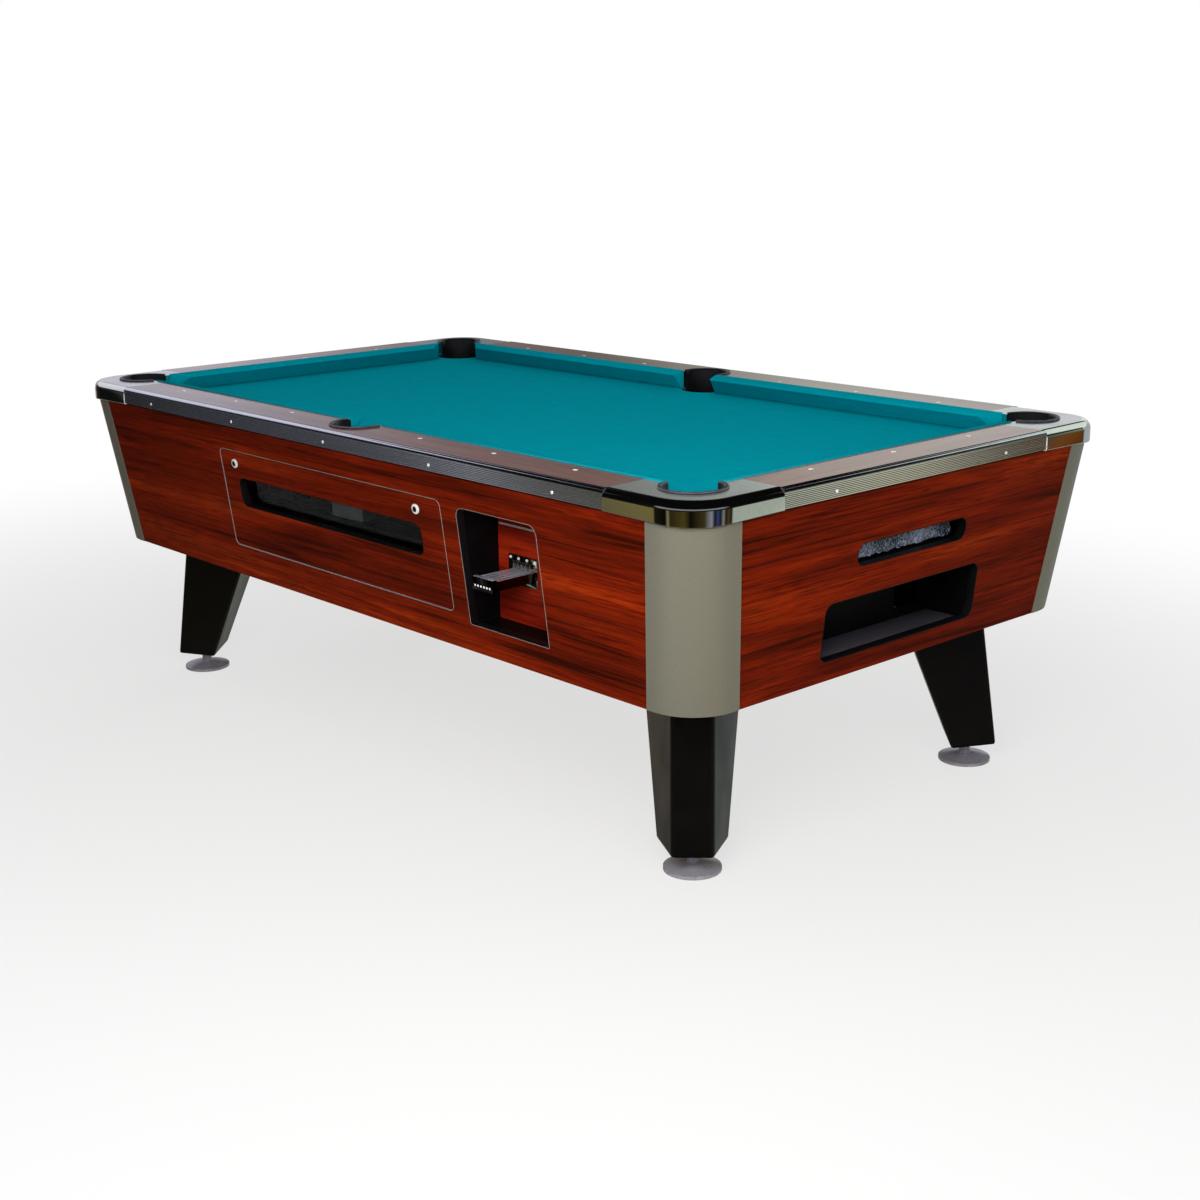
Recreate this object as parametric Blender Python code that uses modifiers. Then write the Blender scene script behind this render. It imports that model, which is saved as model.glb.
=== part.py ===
"""Coin-operated pool table, in metres with +Z up.

The origin is on the floor under the middle of the table. +X runs along the table to the foot end,
which has the ball return. -Y is the front, which has the service door and the coin recess.
"""

import math

import bmesh
import bpy
from mathutils import Matrix, Vector

# Overall sizes
TABLE_LENGTH = 2.286
TABLE_WIDTH = 1.2954
NOSE_INSET = 0.1524
PLAY_LENGTH = TABLE_LENGTH - 2 * NOSE_INSET
PLAY_WIDTH = TABLE_WIDTH - 2 * NOSE_INSET
LEG_HEIGHT = 0.3743
CABINET_HEIGHT = 0.3797
RAIL_RISE = 0.043

# Clearances
GAP = 0.0003
RUNNING_GAP = 0.0006

# Cabinet: its sides lean out from INSET_LOW at the bottom to INSET_HIGH under the rails
INSET_LOW = 0.056
INSET_HIGH = 0.0086
PANEL = 0.019
FLOOR = 0.019
CORNER_RADIUS = 0.10
COVER_FLANGE = 0.021
COVER = 0.0016
PANEL_END_GAP = 0.001

# Bed
SLATE = 0.0215
CLOTH = 0.0012
BEARER_DEPTH = 0.040
BEARER_WIDTH = 0.045
LONG_BEARER_Y = 0.36
INNER_BEARER_X = 0.22
OUTER_BEARER_X = 0.75

# Rails, trim and corner castings
RAIL_WIDTH = 0.118
TRIM = 0.0065
TRIM_INSET = 0.0015
TRIM_LIFT = 0.0017
RIB_COUNT = 9
RIB_HEIGHT = 0.0014
RIB_BAND = 0.0345
RIB_FLAT = 0.5
RIB_SIDE = 0.15
CASTING_LEG_OUTER = 0.2235
CASTING_LEG_INNER = 0.240
CASTING_RADIUS = 0.102
CASTING_WALL = 0.006
CASTING_ROUND = 0.012

# Cushions
NOSE_HEIGHT = 0.0363
CORNER_SETBACK = 0.0875
CORNER_FACING = math.radians(38)
SIDE_MOUTH = 0.1365
SIDE_FACING = math.radians(14)
CUSHION_LIFT = 0.004
CUSHION_DROP = 0.0012
NOSE_ROUND = 0.002
NOSE_SHOULDER = 0.0055
CUSHION_BACK = 0.0085

# Pockets
POCKET_INSET = 0.1232
SIDE_POCKET_INSET = 0.098
POCKET_BORE = 0.0565
LINER = 0.006
LINER_LIP = 0.004
LINER_LIP_RISE = 0.004
LINER_LIP_ROUND = 0.0012
LINER_BELOW_SLATE = 0.010
CORNER_OPENING = math.radians(53)
SIDE_OPENING = math.radians(78)

# Legs, measured in along the diagonal from the cabinet's square corner, and their levelling feet
LEG_LOW = 0.048
LEG_TOP_FRONT = 0.185
LEG_TOP_BACK = 0.373
LEG_TOP_FRONT_WIDTH = 0.083
LEG_TOP_BACK_WIDTH = 0.205
LEG_LOW_FRONT = 0.140
LEG_LOW_BACK = 0.2445
LEG_LOW_FRONT_WIDTH = 0.083
LEG_LOW_BACK_WIDTH = 0.146
LEG_BEVEL = 0.006
FOOT_INSET = 0.2045
FOOT_RADIUS = 0.059
FOOT_EDGE = 0.007
FOOT_CONE = 0.009
FOOT_HUB = 0.020
STUB_RADIUS = 0.0125
STUD_RADIUS = 0.0095
STUD_LENGTH = 0.060
STUD_HOLE_DEPTH = 0.075

# Service door in the front
DOOR_CENTRE = -0.0395
DOOR_WIDTH = 0.861
DOOR_HEIGHT = 0.2365
DOOR_RISE = 0.0812
DOOR_CORNER = 0.012
DOOR_GAP = 0.004
WINDOW_CENTRE = -0.045
WINDOW_WIDTH = 0.722
WINDOW_HEIGHT = 0.0713
WINDOW_RISE = 0.1854
WINDOW_CORNER = 0.020
PANE = 0.003
PANE_LAP = 0.012
HINGE_ROD = 0.0032
LOCK_SPACING = 0.7195
LOCK_CENTRE = -0.05025
LOCK_RISE = 0.2897
LOCK_HEAD = 0.011
LOCK_BARREL = 0.0085
LOCK_PROUD = 0.004
CAM_LENGTH = 0.036
CAM_WIDTH = 0.014
CAM = 0.003
CAM_GAP = 0.0013

# Coin recess and coin slide in the front
COIN_CENTRE = 0.57175
COIN_WIDTH = 0.2515
COIN_HEIGHT = 0.2544
COIN_RISE = 0.0613
COIN_CORNER = 0.022
COIN_LOW_CORNER = 0.005
COIN_WALL = 0.006
COIN_SETBACK = 0.128
COIN_BOARD = 0.012
SLIDE_X = 0.530
SLIDE_RISE = 0.1677
SLIDE_WIDTH = 0.064
SLIDE_HEIGHT = 0.020
SLIDE_REACH = 0.112
SLIDE_TAIL = 0.070
SLIDE_HANDLE = 0.012
SLIDE_HANDLE_HEIGHT = 0.027
FINGER_WIDTH = 0.016
FINGER_LENGTH = 0.035
COIN_SLOT_COUNT = 4
COIN_SLOT_LENGTH = 0.026
COIN_SLOT_WIDTH = 0.0025
COIN_SLOT_DEPTH = 0.015
COIN_SLOT_PITCH = 0.014
COIN_SLOT_FROM_HANDLE = 0.012
PLATE_MARGIN = 0.0065
PLATE_BELOW = 0.0235
PLATE_ABOVE = 0.040
PLATE = 0.005
SLEEVE_WALL = 0.007
SLEEVE_LENGTH = 0.075
LEVER_REACH = 0.090
LEVER_TAIL = 0.045
LEVER_WIDTH = 0.014
LEVER = 0.014
LEVER_PIN = 0.005
LEVER_GAP = 0.0005
LEVER_LIFT = 0.0015
SHELF_MARGIN = 0.020

# Cash box
CASH_WIDTH = 0.200
CASH_DEPTH = 0.150
CASH_HEIGHT = 0.115
CASH_WALL = 0.0018
CASH_BEHIND_BOARD = 0.015

# Ball runway, ball tray, ball return and rack store
RUNWAY_OUT_X = -0.33
RUNWAY_WIDTH = 0.095
RUNWAY_INNER_Y = 0.395
RUNWAY_CATCH = 0.058
RUNWAY_OUTER_GAP = 0.0215
RUNWAY_WALL = 0.040
RUNWAY_SHEET = 0.0025
RUNWAY_BELOW_FRAME = 0.0045
RUNWAY_FALL_X = 0.020
RUNWAY_FALL_Y = 0.030
CHUTE_LENGTH = 0.070
HANGER = 0.012
HANGER_WIDTH = 0.030
TRAY_LENGTH = 0.770
TRAY_DEPTH = 0.091
TRAY_WALL = 0.004
TRAY_FRONT_GAP = 0.006
TRAY_BELOW_WINDOW = 0.012
TRAY_FRONT_RISE = 0.014
TRAY_BACK_RISE = 0.026
TRAY_LEG = 0.060
TRAY_LEG_INSET = 0.060
RETURN_CENTRE = -0.006
RETURN_WIDTH = 0.489
RETURN_HEIGHT = 0.1232
RETURN_RISE = 0.0405
RETURN_CORNER = 0.022
RETURN_WALL = 0.004
RETURN_DEPTH = 0.158
ENTRY_WIDTH = 0.085
ENTRY_HEIGHT = 0.075
ENTRY_Y = 0.150
RACK_SLOT_WIDTH = 0.3454
RACK_SLOT_HEIGHT = 0.049
RACK_SLOT_RISE = 0.2247
RACK_SLOT_CORNER = 0.022
RACK_SIDE = 0.3625
RACK_HEIGHT = 0.040
RACK_WALL = 0.010
RACK_CORNER = 0.030
RACK_SETBACK = 0.103
RACK_LIFT = 0.0025
SHELF = 0.009
SHELF_CHEEK = 0.012
SHELF_LENGTH = 0.300
SHELF_SIDE_GAP = 0.007

ARC_STEP = math.radians(12)
FILLET_STEP = math.radians(22)
SMOOTH_ANGLE = math.radians(30)
ROD_SIDES = 24
FOOT_SIDES = 28

# Values worked out from the driving sizes
half_length = TABLE_LENGTH / 2
half_width = TABLE_WIDTH / 2
bed_top = LEG_HEIGHT + CABINET_HEIGHT
rail_top = bed_top + RAIL_RISE
rail_low = bed_top + GAP
cloth_low = bed_top - CLOTH
slate_top = cloth_low - GAP
slate_low = slate_top - SLATE
bearer_top = slate_low - GAP
bearer_low = bearer_top - BEARER_DEPTH
slope = (INSET_LOW - INSET_HIGH) / (rail_low - LEG_HEIGHT)
tilt = math.atan(slope)
floor_top = LEG_HEIGHT + FLOOR
liner_outer = POCKET_BORE + LINER
pocket_hole = liner_outer + RUNNING_GAP

CORNERS = {"front_head": (-1, -1), "front_foot": (1, -1), "rear_head": (-1, 1), "rear_foot": (1, 1)}
# Each side: half across to its face, half along it, and its turn about Z from the front
SIDES = {
    "front": (half_width, half_length, 0.0),
    "foot": (half_length, half_width, math.pi / 2),
    "rear": (half_width, half_length, math.pi),
    "head": (half_length, half_width, -math.pi / 2),
}
# Plan drawn on X and Z and raised towards -Y, and plan drawn on Y and Z and raised towards +X
FACING_FRONT = Matrix.Rotation(math.pi / 2, 4, "X")
FACING_FOOT = Matrix.Rotation(math.pi / 2, 4, "Z") @ Matrix.Rotation(math.pi / 2, 4, "X")

# Base colour, roughness and metallic value of each finish
FINISHES = {
    "laminate": ((0.110, 0.018, 0.009), 0.35, 0.0),
    "rail laminate": ((0.190, 0.070, 0.055), 0.30, 0.0),
    "cloth": ((0.0, 0.210, 0.240), 0.95, 0.0),
    "slate": ((0.080, 0.085, 0.090), 0.70, 0.0),
    "timber": ((0.420, 0.270, 0.140), 0.65, 0.0),
    "brushed aluminium": ((0.480, 0.490, 0.460), 0.38, 1.0),
    "trim aluminium": ((0.420, 0.430, 0.420), 0.35, 1.0),
    "chrome": ((0.780, 0.780, 0.780), 0.12, 1.0),
    "steel": ((0.500, 0.500, 0.520), 0.35, 1.0),
    "black satin": ((0.006, 0.005, 0.005), 0.45, 0.0),
    "black rubber": ((0.009, 0.009, 0.010), 0.60, 0.0),
    "black board": ((0.007, 0.007, 0.007), 0.60, 0.0),
    "grey plastic": ((0.160, 0.160, 0.155), 0.50, 0.0),
    "acrylic": ((0.700, 0.750, 0.750), 0.05, 0.0),
}

for leftover in list(bpy.data.objects):
    bpy.data.objects.remove(leftover)
parts = bpy.data.collections.new("pool_table")
cutters = bpy.data.collections.new("cutters")
for collection in (parts, cutters):
    bpy.context.scene.collection.children.link(collection)
root = bpy.data.objects.new("table_origin", None)
parts.objects.link(root)


# Outlines

def rectangle(x0, y0, x1, y1):
    return [(x0, y0), (x1, y0), (x1, y1), (x0, y1)]


def arc(centre, radius, start, end, step=ARC_STEP):
    count = max(2, math.ceil(abs(end - start) / step))
    angles = [start + (end - start) * i / count for i in range(count + 1)]
    return [(centre[0] + radius * math.cos(a), centre[1] + radius * math.sin(a)) for a in angles]


def circle(centre, radius):
    return arc(centre, radius, 0, 2 * math.pi)[:-1]


def rounded(points, *radii):
    """The polygon with its corners filleted: one radius for all of them, or one each."""
    radii = radii * len(points) if len(radii) == 1 else radii
    outline = []
    for i, radius in enumerate(radii):
        corner = Vector(points[i])
        back = (Vector(points[i - 1]) - corner).normalized()
        ahead = (Vector(points[(i + 1) % len(points)]) - corner).normalized()
        half = back.angle(ahead) / 2
        centre = corner + (back + ahead).normalized() * radius / math.sin(half)
        start = corner + back * radius / math.tan(half) - centre
        end = corner + ahead * radius / math.tan(half) - centre
        turn = math.copysign(math.pi - 2 * half, start.x * end.y - start.y * end.x)
        first = math.atan2(start.y, start.x)
        outline += arc(centre, radius, first, first + turn, FILLET_STEP)
    return outline


# Solids: a piece has a finish, and a cutter or a shape to be joined has none

def material(name, finish):
    colour, roughness, metallic = FINISHES[finish]
    made = bpy.data.materials.new(name)
    made.use_nodes = True
    shader = made.node_tree.nodes["Principled BSDF"]
    shader.inputs["Base Color"].default_value = (*colour, 1)
    shader.inputs["Roughness"].default_value = roughness
    shader.inputs["Metallic"].default_value = metallic
    made.diffuse_color = (*colour, 1)
    return made


def place(name, mesh, frame, finish):
    obj = bpy.data.objects.new(name, mesh)
    obj.matrix_basis = frame
    if finish:
        parts.objects.link(obj)
        obj.parent = root
        mesh.materials.append(material(name, finish))
        mesh.shade_smooth()
        mesh.set_sharp_from_angle(angle=SMOOTH_ANGLE)
    else:
        cutters.objects.link(obj)
        obj.hide_render = True
        obj.display_type = "WIRE"
    return obj


def solid(name, bm, frame, finish):
    bmesh.ops.recalc_face_normals(bm, faces=bm.faces)
    mesh = bpy.data.meshes.new(name)
    bm.to_mesh(mesh)
    bm.free()
    return place(name, mesh, frame, finish)


def slab(name, loops, low, high, finish=None, frame=Matrix()):
    """A flat outline, with any further loops as holes, raised from low to high along the frame's Z."""
    curve = bpy.data.curves.new(name, "CURVE")
    curve.dimensions = "2D"
    curve.fill_mode = "BOTH"
    curve.extrude = (high - low) / 2
    for loop in loops:
        spline = curve.splines.new("POLY")
        spline.points.add(len(loop) - 1)
        spline.use_cyclic_u = True
        for point, (x, y) in zip(spline.points, loop):
            point.co = (x, y, 0, 1)
    drawn = bpy.data.objects.new(name, curve)
    cutters.objects.link(drawn)
    graph = bpy.context.evaluated_depsgraph_get()
    mesh = bpy.data.meshes.new_from_object(drawn.evaluated_get(graph))
    bpy.data.objects.remove(drawn)
    bpy.data.curves.remove(curve)
    bm = bmesh.new()
    bm.from_mesh(mesh)
    bpy.data.meshes.remove(mesh)
    bmesh.ops.remove_doubles(bm, verts=bm.verts, dist=1e-6)
    bmesh.ops.translate(bm, verts=bm.verts, vec=(0, 0, (low + high) / 2))
    return solid(name, bm, frame, finish)


def loft(name, sections, finish=None, frame=Matrix()):
    """Sections of equal point counts joined one to the next, with both ends closed."""
    bm = bmesh.new()
    rings = [[bm.verts.new(point) for point in section] for section in sections]
    for ring, following in zip(rings, rings[1:]):
        for i in range(len(ring)):
            bm.faces.new((ring[i - 1], ring[i], following[i], following[i - 1]))
    bm.faces.new(rings[0])
    bm.faces.new(rings[-1])
    return solid(name, bm, frame, finish)


def block(name, low, high, finish=None, frame=Matrix()):
    low, high = Vector(low), Vector(high)
    bm = bmesh.new()
    bmesh.ops.create_cube(bm, size=1)
    bmesh.ops.scale(bm, verts=bm.verts, vec=high - low)
    bmesh.ops.translate(bm, verts=bm.verts, vec=(low + high) / 2)
    return solid(name, bm, frame, finish)


def rod(name, radius, low, high, finish=None, frame=Matrix()):
    """A round bar along the frame's Z."""
    bm = bmesh.new()
    bmesh.ops.create_cone(
        bm, cap_ends=True, segments=ROD_SIDES, radius1=radius, radius2=radius, depth=high - low,
        matrix=Matrix.Translation((0, 0, (low + high) / 2)))
    return solid(name, bm, frame, finish)


def boolean(obj, other, operation):
    modifier = obj.modifiers.new(other.name, "BOOLEAN")
    modifier.operation = operation
    modifier.object = other
    return obj


def cut(obj, *tools):
    for tool in tools:
        boolean(obj, tool, "DIFFERENCE")
    return obj


def join(obj, *others):
    for other in others:
        boolean(obj, other, "UNION")
    return obj


# Cabinet

def face(half, z):
    """Where a leaning side's outer face is at height z, from the middle of the table."""
    return half - INSET_LOW + slope * (z - LEG_HEIGHT)


def inside(half, z):
    """How far out a piece may reach at height z and stay clear of the side panel."""
    return face(half, z) - PANEL / math.cos(tilt) - GAP


def up_slope(z):
    return (z - LEG_HEIGHT) / math.cos(tilt)


def panel_frame(side):
    """X along the side, Y up its slope and Z out of its face, from the middle of its bottom edge."""
    half, _, turn = SIDES[side]
    stand = Matrix.Translation((0, INSET_LOW - half, LEG_HEIGHT))
    return Matrix.Rotation(turn, 4, "Z") @ stand @ Matrix.Rotation(math.pi / 2 + tilt, 4, "X")


def panel_opening(centre, width, rise, height, *radii, grow=0.0):
    low, high = up_slope(LEG_HEIGHT + rise) - grow, up_slope(LEG_HEIGHT + rise + height) + grow
    outline = rectangle(centre - width / 2 - grow, low, centre + width / 2 + grow, high)
    return rounded(outline, *(radius + grow for radius in radii))


def cabinet_panel(side, openings):
    _, along, _ = SIDES[side]
    top = up_slope(rail_low - GAP - PANEL * math.sin(tilt))
    low = along - INSET_LOW - CORNER_RADIUS - PANEL_END_GAP
    high = low + slope * top * math.cos(tilt)
    outline = [(-low, 0), (low, 0), (high, top), (-high, top)]
    slab(f"cabinet_{side}_panel", [outline, *openings], -PANEL, 0, "laminate", panel_frame(side))


def rounded_plan(z, radius):
    """The cabinet's clear inside at height z, with round corners."""
    x, y = inside(half_length, z), inside(half_width, z)
    return rounded(rectangle(-x, -y, x, y), radius)


def corner_cover(corner):
    """A bent sheet that laps both panels and leans out with them."""
    sx, sy = CORNERS[corner]
    reach = CORNER_RADIUS + COVER_FLANGE
    turns = arc((0, 0), 1, math.pi / 2, 0)
    path = [((-reach, 0), (0, 1))]
    path += [((n[0] * CORNER_RADIUS - CORNER_RADIUS, n[1] * CORNER_RADIUS - CORNER_RADIUS), n) for n in turns]
    path += [((0, -reach), (1, 0))]
    clear = GAP / math.cos(tilt)
    top = rail_low - 2 * GAP
    sections = []
    for (x, y), (nx, ny) in path:
        section = []
        for out, z in ((clear, LEG_HEIGHT), (clear + COVER, LEG_HEIGHT), (clear + COVER, top), (clear, top)):
            px = face(half_length, z) + x + nx * out
            py = face(half_width, z) + y + ny * out
            section.append((sx * px, sy * py, z))
        sections.append(section)
    loft(f"corner_cover_{corner}", sections, "brushed aluminium")


inner_radius = CORNER_RADIUS - PANEL - COVER
door_args = (DOOR_CENTRE, DOOR_WIDTH, DOOR_RISE, DOOR_HEIGHT, DOOR_CORNER)
coin_radii = (COIN_LOW_CORNER, COIN_LOW_CORNER, COIN_CORNER, COIN_CORNER)
cabinet_panel("front", [
    panel_opening(*door_args, grow=DOOR_GAP),
    panel_opening(COIN_CENTRE, COIN_WIDTH, COIN_RISE, COIN_HEIGHT, *coin_radii)])
cabinet_panel("rear", [])
cabinet_panel("head", [])
cabinet_panel("foot", [
    panel_opening(RETURN_CENTRE, RETURN_WIDTH, RETURN_RISE, RETURN_HEIGHT, RETURN_CORNER),
    panel_opening(0, RACK_SLOT_WIDTH, RACK_SLOT_RISE, RACK_SLOT_HEIGHT, RACK_SLOT_CORNER)])
slab("cabinet_floor", [rounded_plan(LEG_HEIGHT, inner_radius)], LEG_HEIGHT, floor_top, "timber")
for corner in CORNERS:
    corner_cover(corner)


# Bed: timber bearers, slate and cloth

pocket_x = half_length - POCKET_INSET
pocket_y = half_width - POCKET_INSET
side_pocket_y = half_width - SIDE_POCKET_INSET
corner_holes = [circle((sx * pocket_x, sy * pocket_y), pocket_hole) for sx, sy in CORNERS.values()]
runway_front_y = RUNWAY_INNER_Y + RUNWAY_WIDTH


def bed_outline():
    """The slate's plan: round corners, and a slot in each long edge for the side pocket."""
    x, y = inside(half_length, slate_low), inside(half_width, slate_low)
    middle = (0, side_pocket_y)
    slot = [(pocket_hole, y), *arc(middle, pocket_hole, 0, -math.pi), (-pocket_hole, y)]
    corner_arc = arc((x - inner_radius, y - inner_radius), inner_radius, 0, math.pi / 2)
    upper = corner_arc + slot + [(-px, py) for px, py in reversed(corner_arc)]
    return upper + [(-px, -py) for px, py in upper]


def slate_frame():
    x, y = inside(half_length, bearer_low), inside(half_width, bearer_low)
    wide = BEARER_WIDTH / 2
    frame = block("slate_frame", (-x, LONG_BEARER_Y - wide, bearer_low),
                  (x, LONG_BEARER_Y + wide, bearer_top), "timber")
    join(frame, block("rear_bearer", (-x, -LONG_BEARER_Y - wide, bearer_low),
                      (x, wide - LONG_BEARER_Y, bearer_top)))
    for middle in (-OUTER_BEARER_X, -INNER_BEARER_X, INNER_BEARER_X, OUTER_BEARER_X):
        join(frame, block("cross_bearer", (middle - wide, -y, bearer_low), (middle + wide, y, bearer_top)))
    return frame


bearers = slate_frame()
slab("slate_bed", [bed_outline(), *corner_holes], slate_low, slate_top, "slate")
slab("bed_cloth", [bed_outline(), *corner_holes], cloth_low, bed_top, "cloth")


# Rails, trim, castings and cushions

rail_inner = {"front": half_width - RAIL_WIDTH, "foot": half_length - RAIL_WIDTH}
rail_inner.update(rear=rail_inner["front"], head=rail_inner["foot"])


def side_frame(side):
    """Z up, X along the side and -Y out of it, from the middle of the table."""
    return Matrix.Rotation(SIDES[side][2], 4, "Z")


def seam(along, depth):
    """Where a rail piece ends beside the casting's slanting leg, at a depth in from the outer face."""
    slant = (CASTING_LEG_INNER - CASTING_LEG_OUTER) / RAIL_WIDTH
    return along - CASTING_LEG_OUTER - slant * depth - GAP


def wooden_rail(side):
    half, along, _ = SIDES[side]
    depth = TRIM_INSET + TRIM + GAP
    outer, inner = depth - half, -rail_inner[side]
    end_outer, end_inner = seam(along, depth), seam(along, RAIL_WIDTH)
    outline = [(-end_outer, outer), (end_outer, outer), (end_inner, inner)]
    if side in ("front", "rear"):
        middle = (0, -side_pocket_y)
        dip = math.asin((side_pocket_y - rail_inner[side]) / pocket_hole)
        outline += arc(middle, pocket_hole, dip, -math.pi - dip)
    outline.append((-end_inner, inner))
    slab(f"{side}_rail", [outline], rail_low, rail_top, "rail laminate", side_frame(side))


def rail_trim(side):
    """An extruded edge strip: flat ribs with a round nose above them."""
    half, along, _ = SIDES[side]
    low = rail_low + TRIM_LIFT
    pitch = RIB_BAND / RIB_COUNT
    valley = TRIM - RIB_HEIGHT
    profile = [(0, low), (valley, low)]
    for i in range(RIB_COUNT):
        start, end = low + (i + RIB_SIDE) * pitch, low + (i + RIB_FLAT + 3 * RIB_SIDE) * pitch
        profile += [(valley, start), (TRIM, start + RIB_SIDE * pitch)]
        profile += [(TRIM, end - RIB_SIDE * pitch), (valley, end)]
    nose_low = low + RIB_BAND
    nose = rail_top - nose_low
    profile += arc((TRIM - nose, nose_low), nose, 0, math.pi / 2, FILLET_STEP)
    profile.append((0, rail_top))
    back = TRIM_INSET + TRIM
    end = seam(along, back)
    stand = Matrix.Translation((0, back - half, 0))
    across = Matrix.Rotation(-math.pi / 2, 4, "Z") @ Matrix.Rotation(math.pi / 2, 4, "X")
    slab(f"{side}_trim", [profile], -end, end, "trim aluminium", side_frame(side) @ stand @ across)


def casting_plan(inset):
    """The corner casting's plan at the rear foot corner: two legs round the pocket, drawn in by inset."""
    outer_x, outer_y = half_length - inset, half_width - inset
    inner_x, inner_y = rail_inner["foot"] + inset, rail_inner["rear"] + inset
    radius, hole = CASTING_RADIUS - inset, pocket_hole + inset
    start = math.pi - math.asin((inner_y - pocket_y) / hole)
    end = -math.acos((inner_x - pocket_x) / hole)
    plan = [(half_length - CASTING_LEG_INNER + inset, inner_y)]
    plan += arc((pocket_x, pocket_y), hole, start, end)
    plan += [(inner_x, half_width - CASTING_LEG_INNER + inset)]
    plan += [(outer_x, half_width - CASTING_LEG_OUTER + inset)]
    plan += arc((outer_x - radius, outer_y - radius), radius, 0, math.pi / 2)
    plan += [(half_length - CASTING_LEG_OUTER + inset, outer_y)]
    return plan


def round_top(obj, mirror):
    """Rounds the casting's top edge along its outer sides and corner."""
    bm = bmesh.new()
    bm.from_mesh(obj.data)
    centre = Vector((half_length - CASTING_RADIUS, half_width - CASTING_RADIUS))
    outer = []
    for edge in bm.edges:
        ends = [Vector((v.co.x * mirror[0], v.co.y * mirror[1])) for v in edge.verts]
        high = all(v.co.z > rail_top - GAP for v in edge.verts)
        beyond = [Vector((max(p.x - centre.x, 0), max(p.y - centre.y, 0))).length for p in ends]
        if high and all(abs(out - CASTING_RADIUS) < GAP for out in beyond):
            outer.append(edge)
    bmesh.ops.bevel(bm, geom=outer, offset=CASTING_ROUND, segments=4, profile=0.5, affect="EDGES")
    bm.to_mesh(obj.data)
    bm.free()


def corner_casting(corner):
    sx, sy = CORNERS[corner]

    def outline(inset, z):
        return [(sx * x, sy * y, z) for x, y in casting_plan(inset)]

    casting = loft(f"corner_casting_{corner}", [outline(0, rail_low), outline(0, rail_top)], "chrome")
    round_top(casting, (sx, sy))
    hollow = [outline(CASTING_WALL, rail_low - CASTING_WALL), outline(CASTING_WALL, rail_top - CASTING_WALL)]
    cut(casting, loft("casting_hollow", hollow))


def cushion(name, side, start, end):
    """A cloth-covered rubber cushion: start and end are (nose point along the rail, shift per depth)."""
    nose = (PLAY_WIDTH if side in ("front", "rear") else PLAY_LENGTH) / 2
    depth = rail_inner[side] - GAP - nose
    top = RAIL_RISE - CUSHION_DROP
    tip = NOSE_HEIGHT
    profile = [(0, tip), (NOSE_ROUND / 2, tip + NOSE_ROUND), (NOSE_SHOULDER, (tip + 3 * top) / 4)]
    profile += [(depth, top), (depth, CUSHION_LIFT), (depth - CUSHION_BACK, CUSHION_LIFT)]
    profile += [(NOSE_SHOULDER, tip - NOSE_SHOULDER), (NOSE_ROUND / 2, tip - NOSE_ROUND)]
    sections = []
    for point, shift in (start, end):
        sections.append([(point + shift * d, -nose - d, bed_top + z) for d, z in profile])
    loft(name, sections, "cloth", side_frame(side))


for side in SIDES:
    wooden_rail(side)
    rail_trim(side)
for corner in CORNERS:
    corner_casting(corner)
corner_shift = 1 / math.tan(CORNER_FACING)
side_shift = -math.tan(SIDE_FACING)
long_end = PLAY_LENGTH / 2 - CORNER_SETBACK
short_end = PLAY_WIDTH / 2 - CORNER_SETBACK
for side, turned in (("front", 1), ("rear", -1)):
    for end, sign in (("foot", turned), ("head", -turned)):
        inner_cut = (sign * SIDE_MOUTH / 2, sign * side_shift)
        outer_cut = (sign * long_end, sign * corner_shift)
        cushion(f"{side}_cushion_{end}", side, inner_cut, outer_cut)
for side in ("head", "foot"):
    cushion(f"{side}_cushion", side, (-short_end, -corner_shift), (short_end, corner_shift))


# Pockets

def pocket_liner(name, centre, mouth, opening):
    """A rubber wall round the pocket, open by the given half angle towards the bed, with a lip on top."""
    low, lip_low, lip_top = slate_low - LINER_BELOW_SLATE, rail_top + GAP, rail_top + LINER_LIP_RISE
    profile = [(POCKET_BORE, low), (liner_outer, low), (liner_outer, lip_low)]
    profile += [(liner_outer + LINER_LIP, lip_low), (liner_outer + LINER_LIP - LINER_LIP_ROUND, lip_top)]
    profile += [(POCKET_BORE + 2 * LINER_LIP_ROUND, lip_top), (POCKET_BORE, rail_top - GAP)]
    turns = arc((0, 0), 1, mouth + opening, mouth + 2 * math.pi - opening)
    sections = [[(centre[0] + r * x, centre[1] + r * y, z) for r, z in profile] for x, y in turns]
    loft(name, sections, "black rubber")


for corner, (sx, sy) in CORNERS.items():
    mouth = math.atan2(-sy, -sx)
    pocket_liner(f"corner_pocket_{corner}", (sx * pocket_x, sy * pocket_y), mouth, CORNER_OPENING)
for side, sign in (("front", -1), ("rear", 1)):
    pocket_liner(f"side_pocket_{side}", (0, sign * side_pocket_y), -sign * math.pi / 2, SIDE_OPENING)


# Legs and levelling feet

def levelling_foot(name, x, y):
    """A turned steel foot: a coned disc, a stub below the leg and a stud up into it."""
    hub_top = FOOT_EDGE + FOOT_CONE
    stub_top = LEG_LOW - GAP
    profile = [(0, stub_top + STUD_LENGTH), (STUD_RADIUS, stub_top + STUD_LENGTH), (STUD_RADIUS, stub_top)]
    profile += [(STUB_RADIUS, stub_top), (STUB_RADIUS, hub_top), (FOOT_HUB, hub_top)]
    profile += [(FOOT_RADIUS, FOOT_EDGE), (FOOT_RADIUS, 0), (0, 0)]
    mesh = bpy.data.meshes.new(name)
    mesh.from_pydata([(r, 0, z) for r, z in profile], [(i, i + 1) for i in range(len(profile) - 1)], [])
    foot = place(name, mesh, Matrix.Translation((x, y, 0)), "steel")
    turned = foot.modifiers.new("turned", "SCREW")
    turned.steps = turned.render_steps = FOOT_SIDES
    turned.use_merge_vertices = True
    turned.merge_threshold = 1e-5


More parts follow.
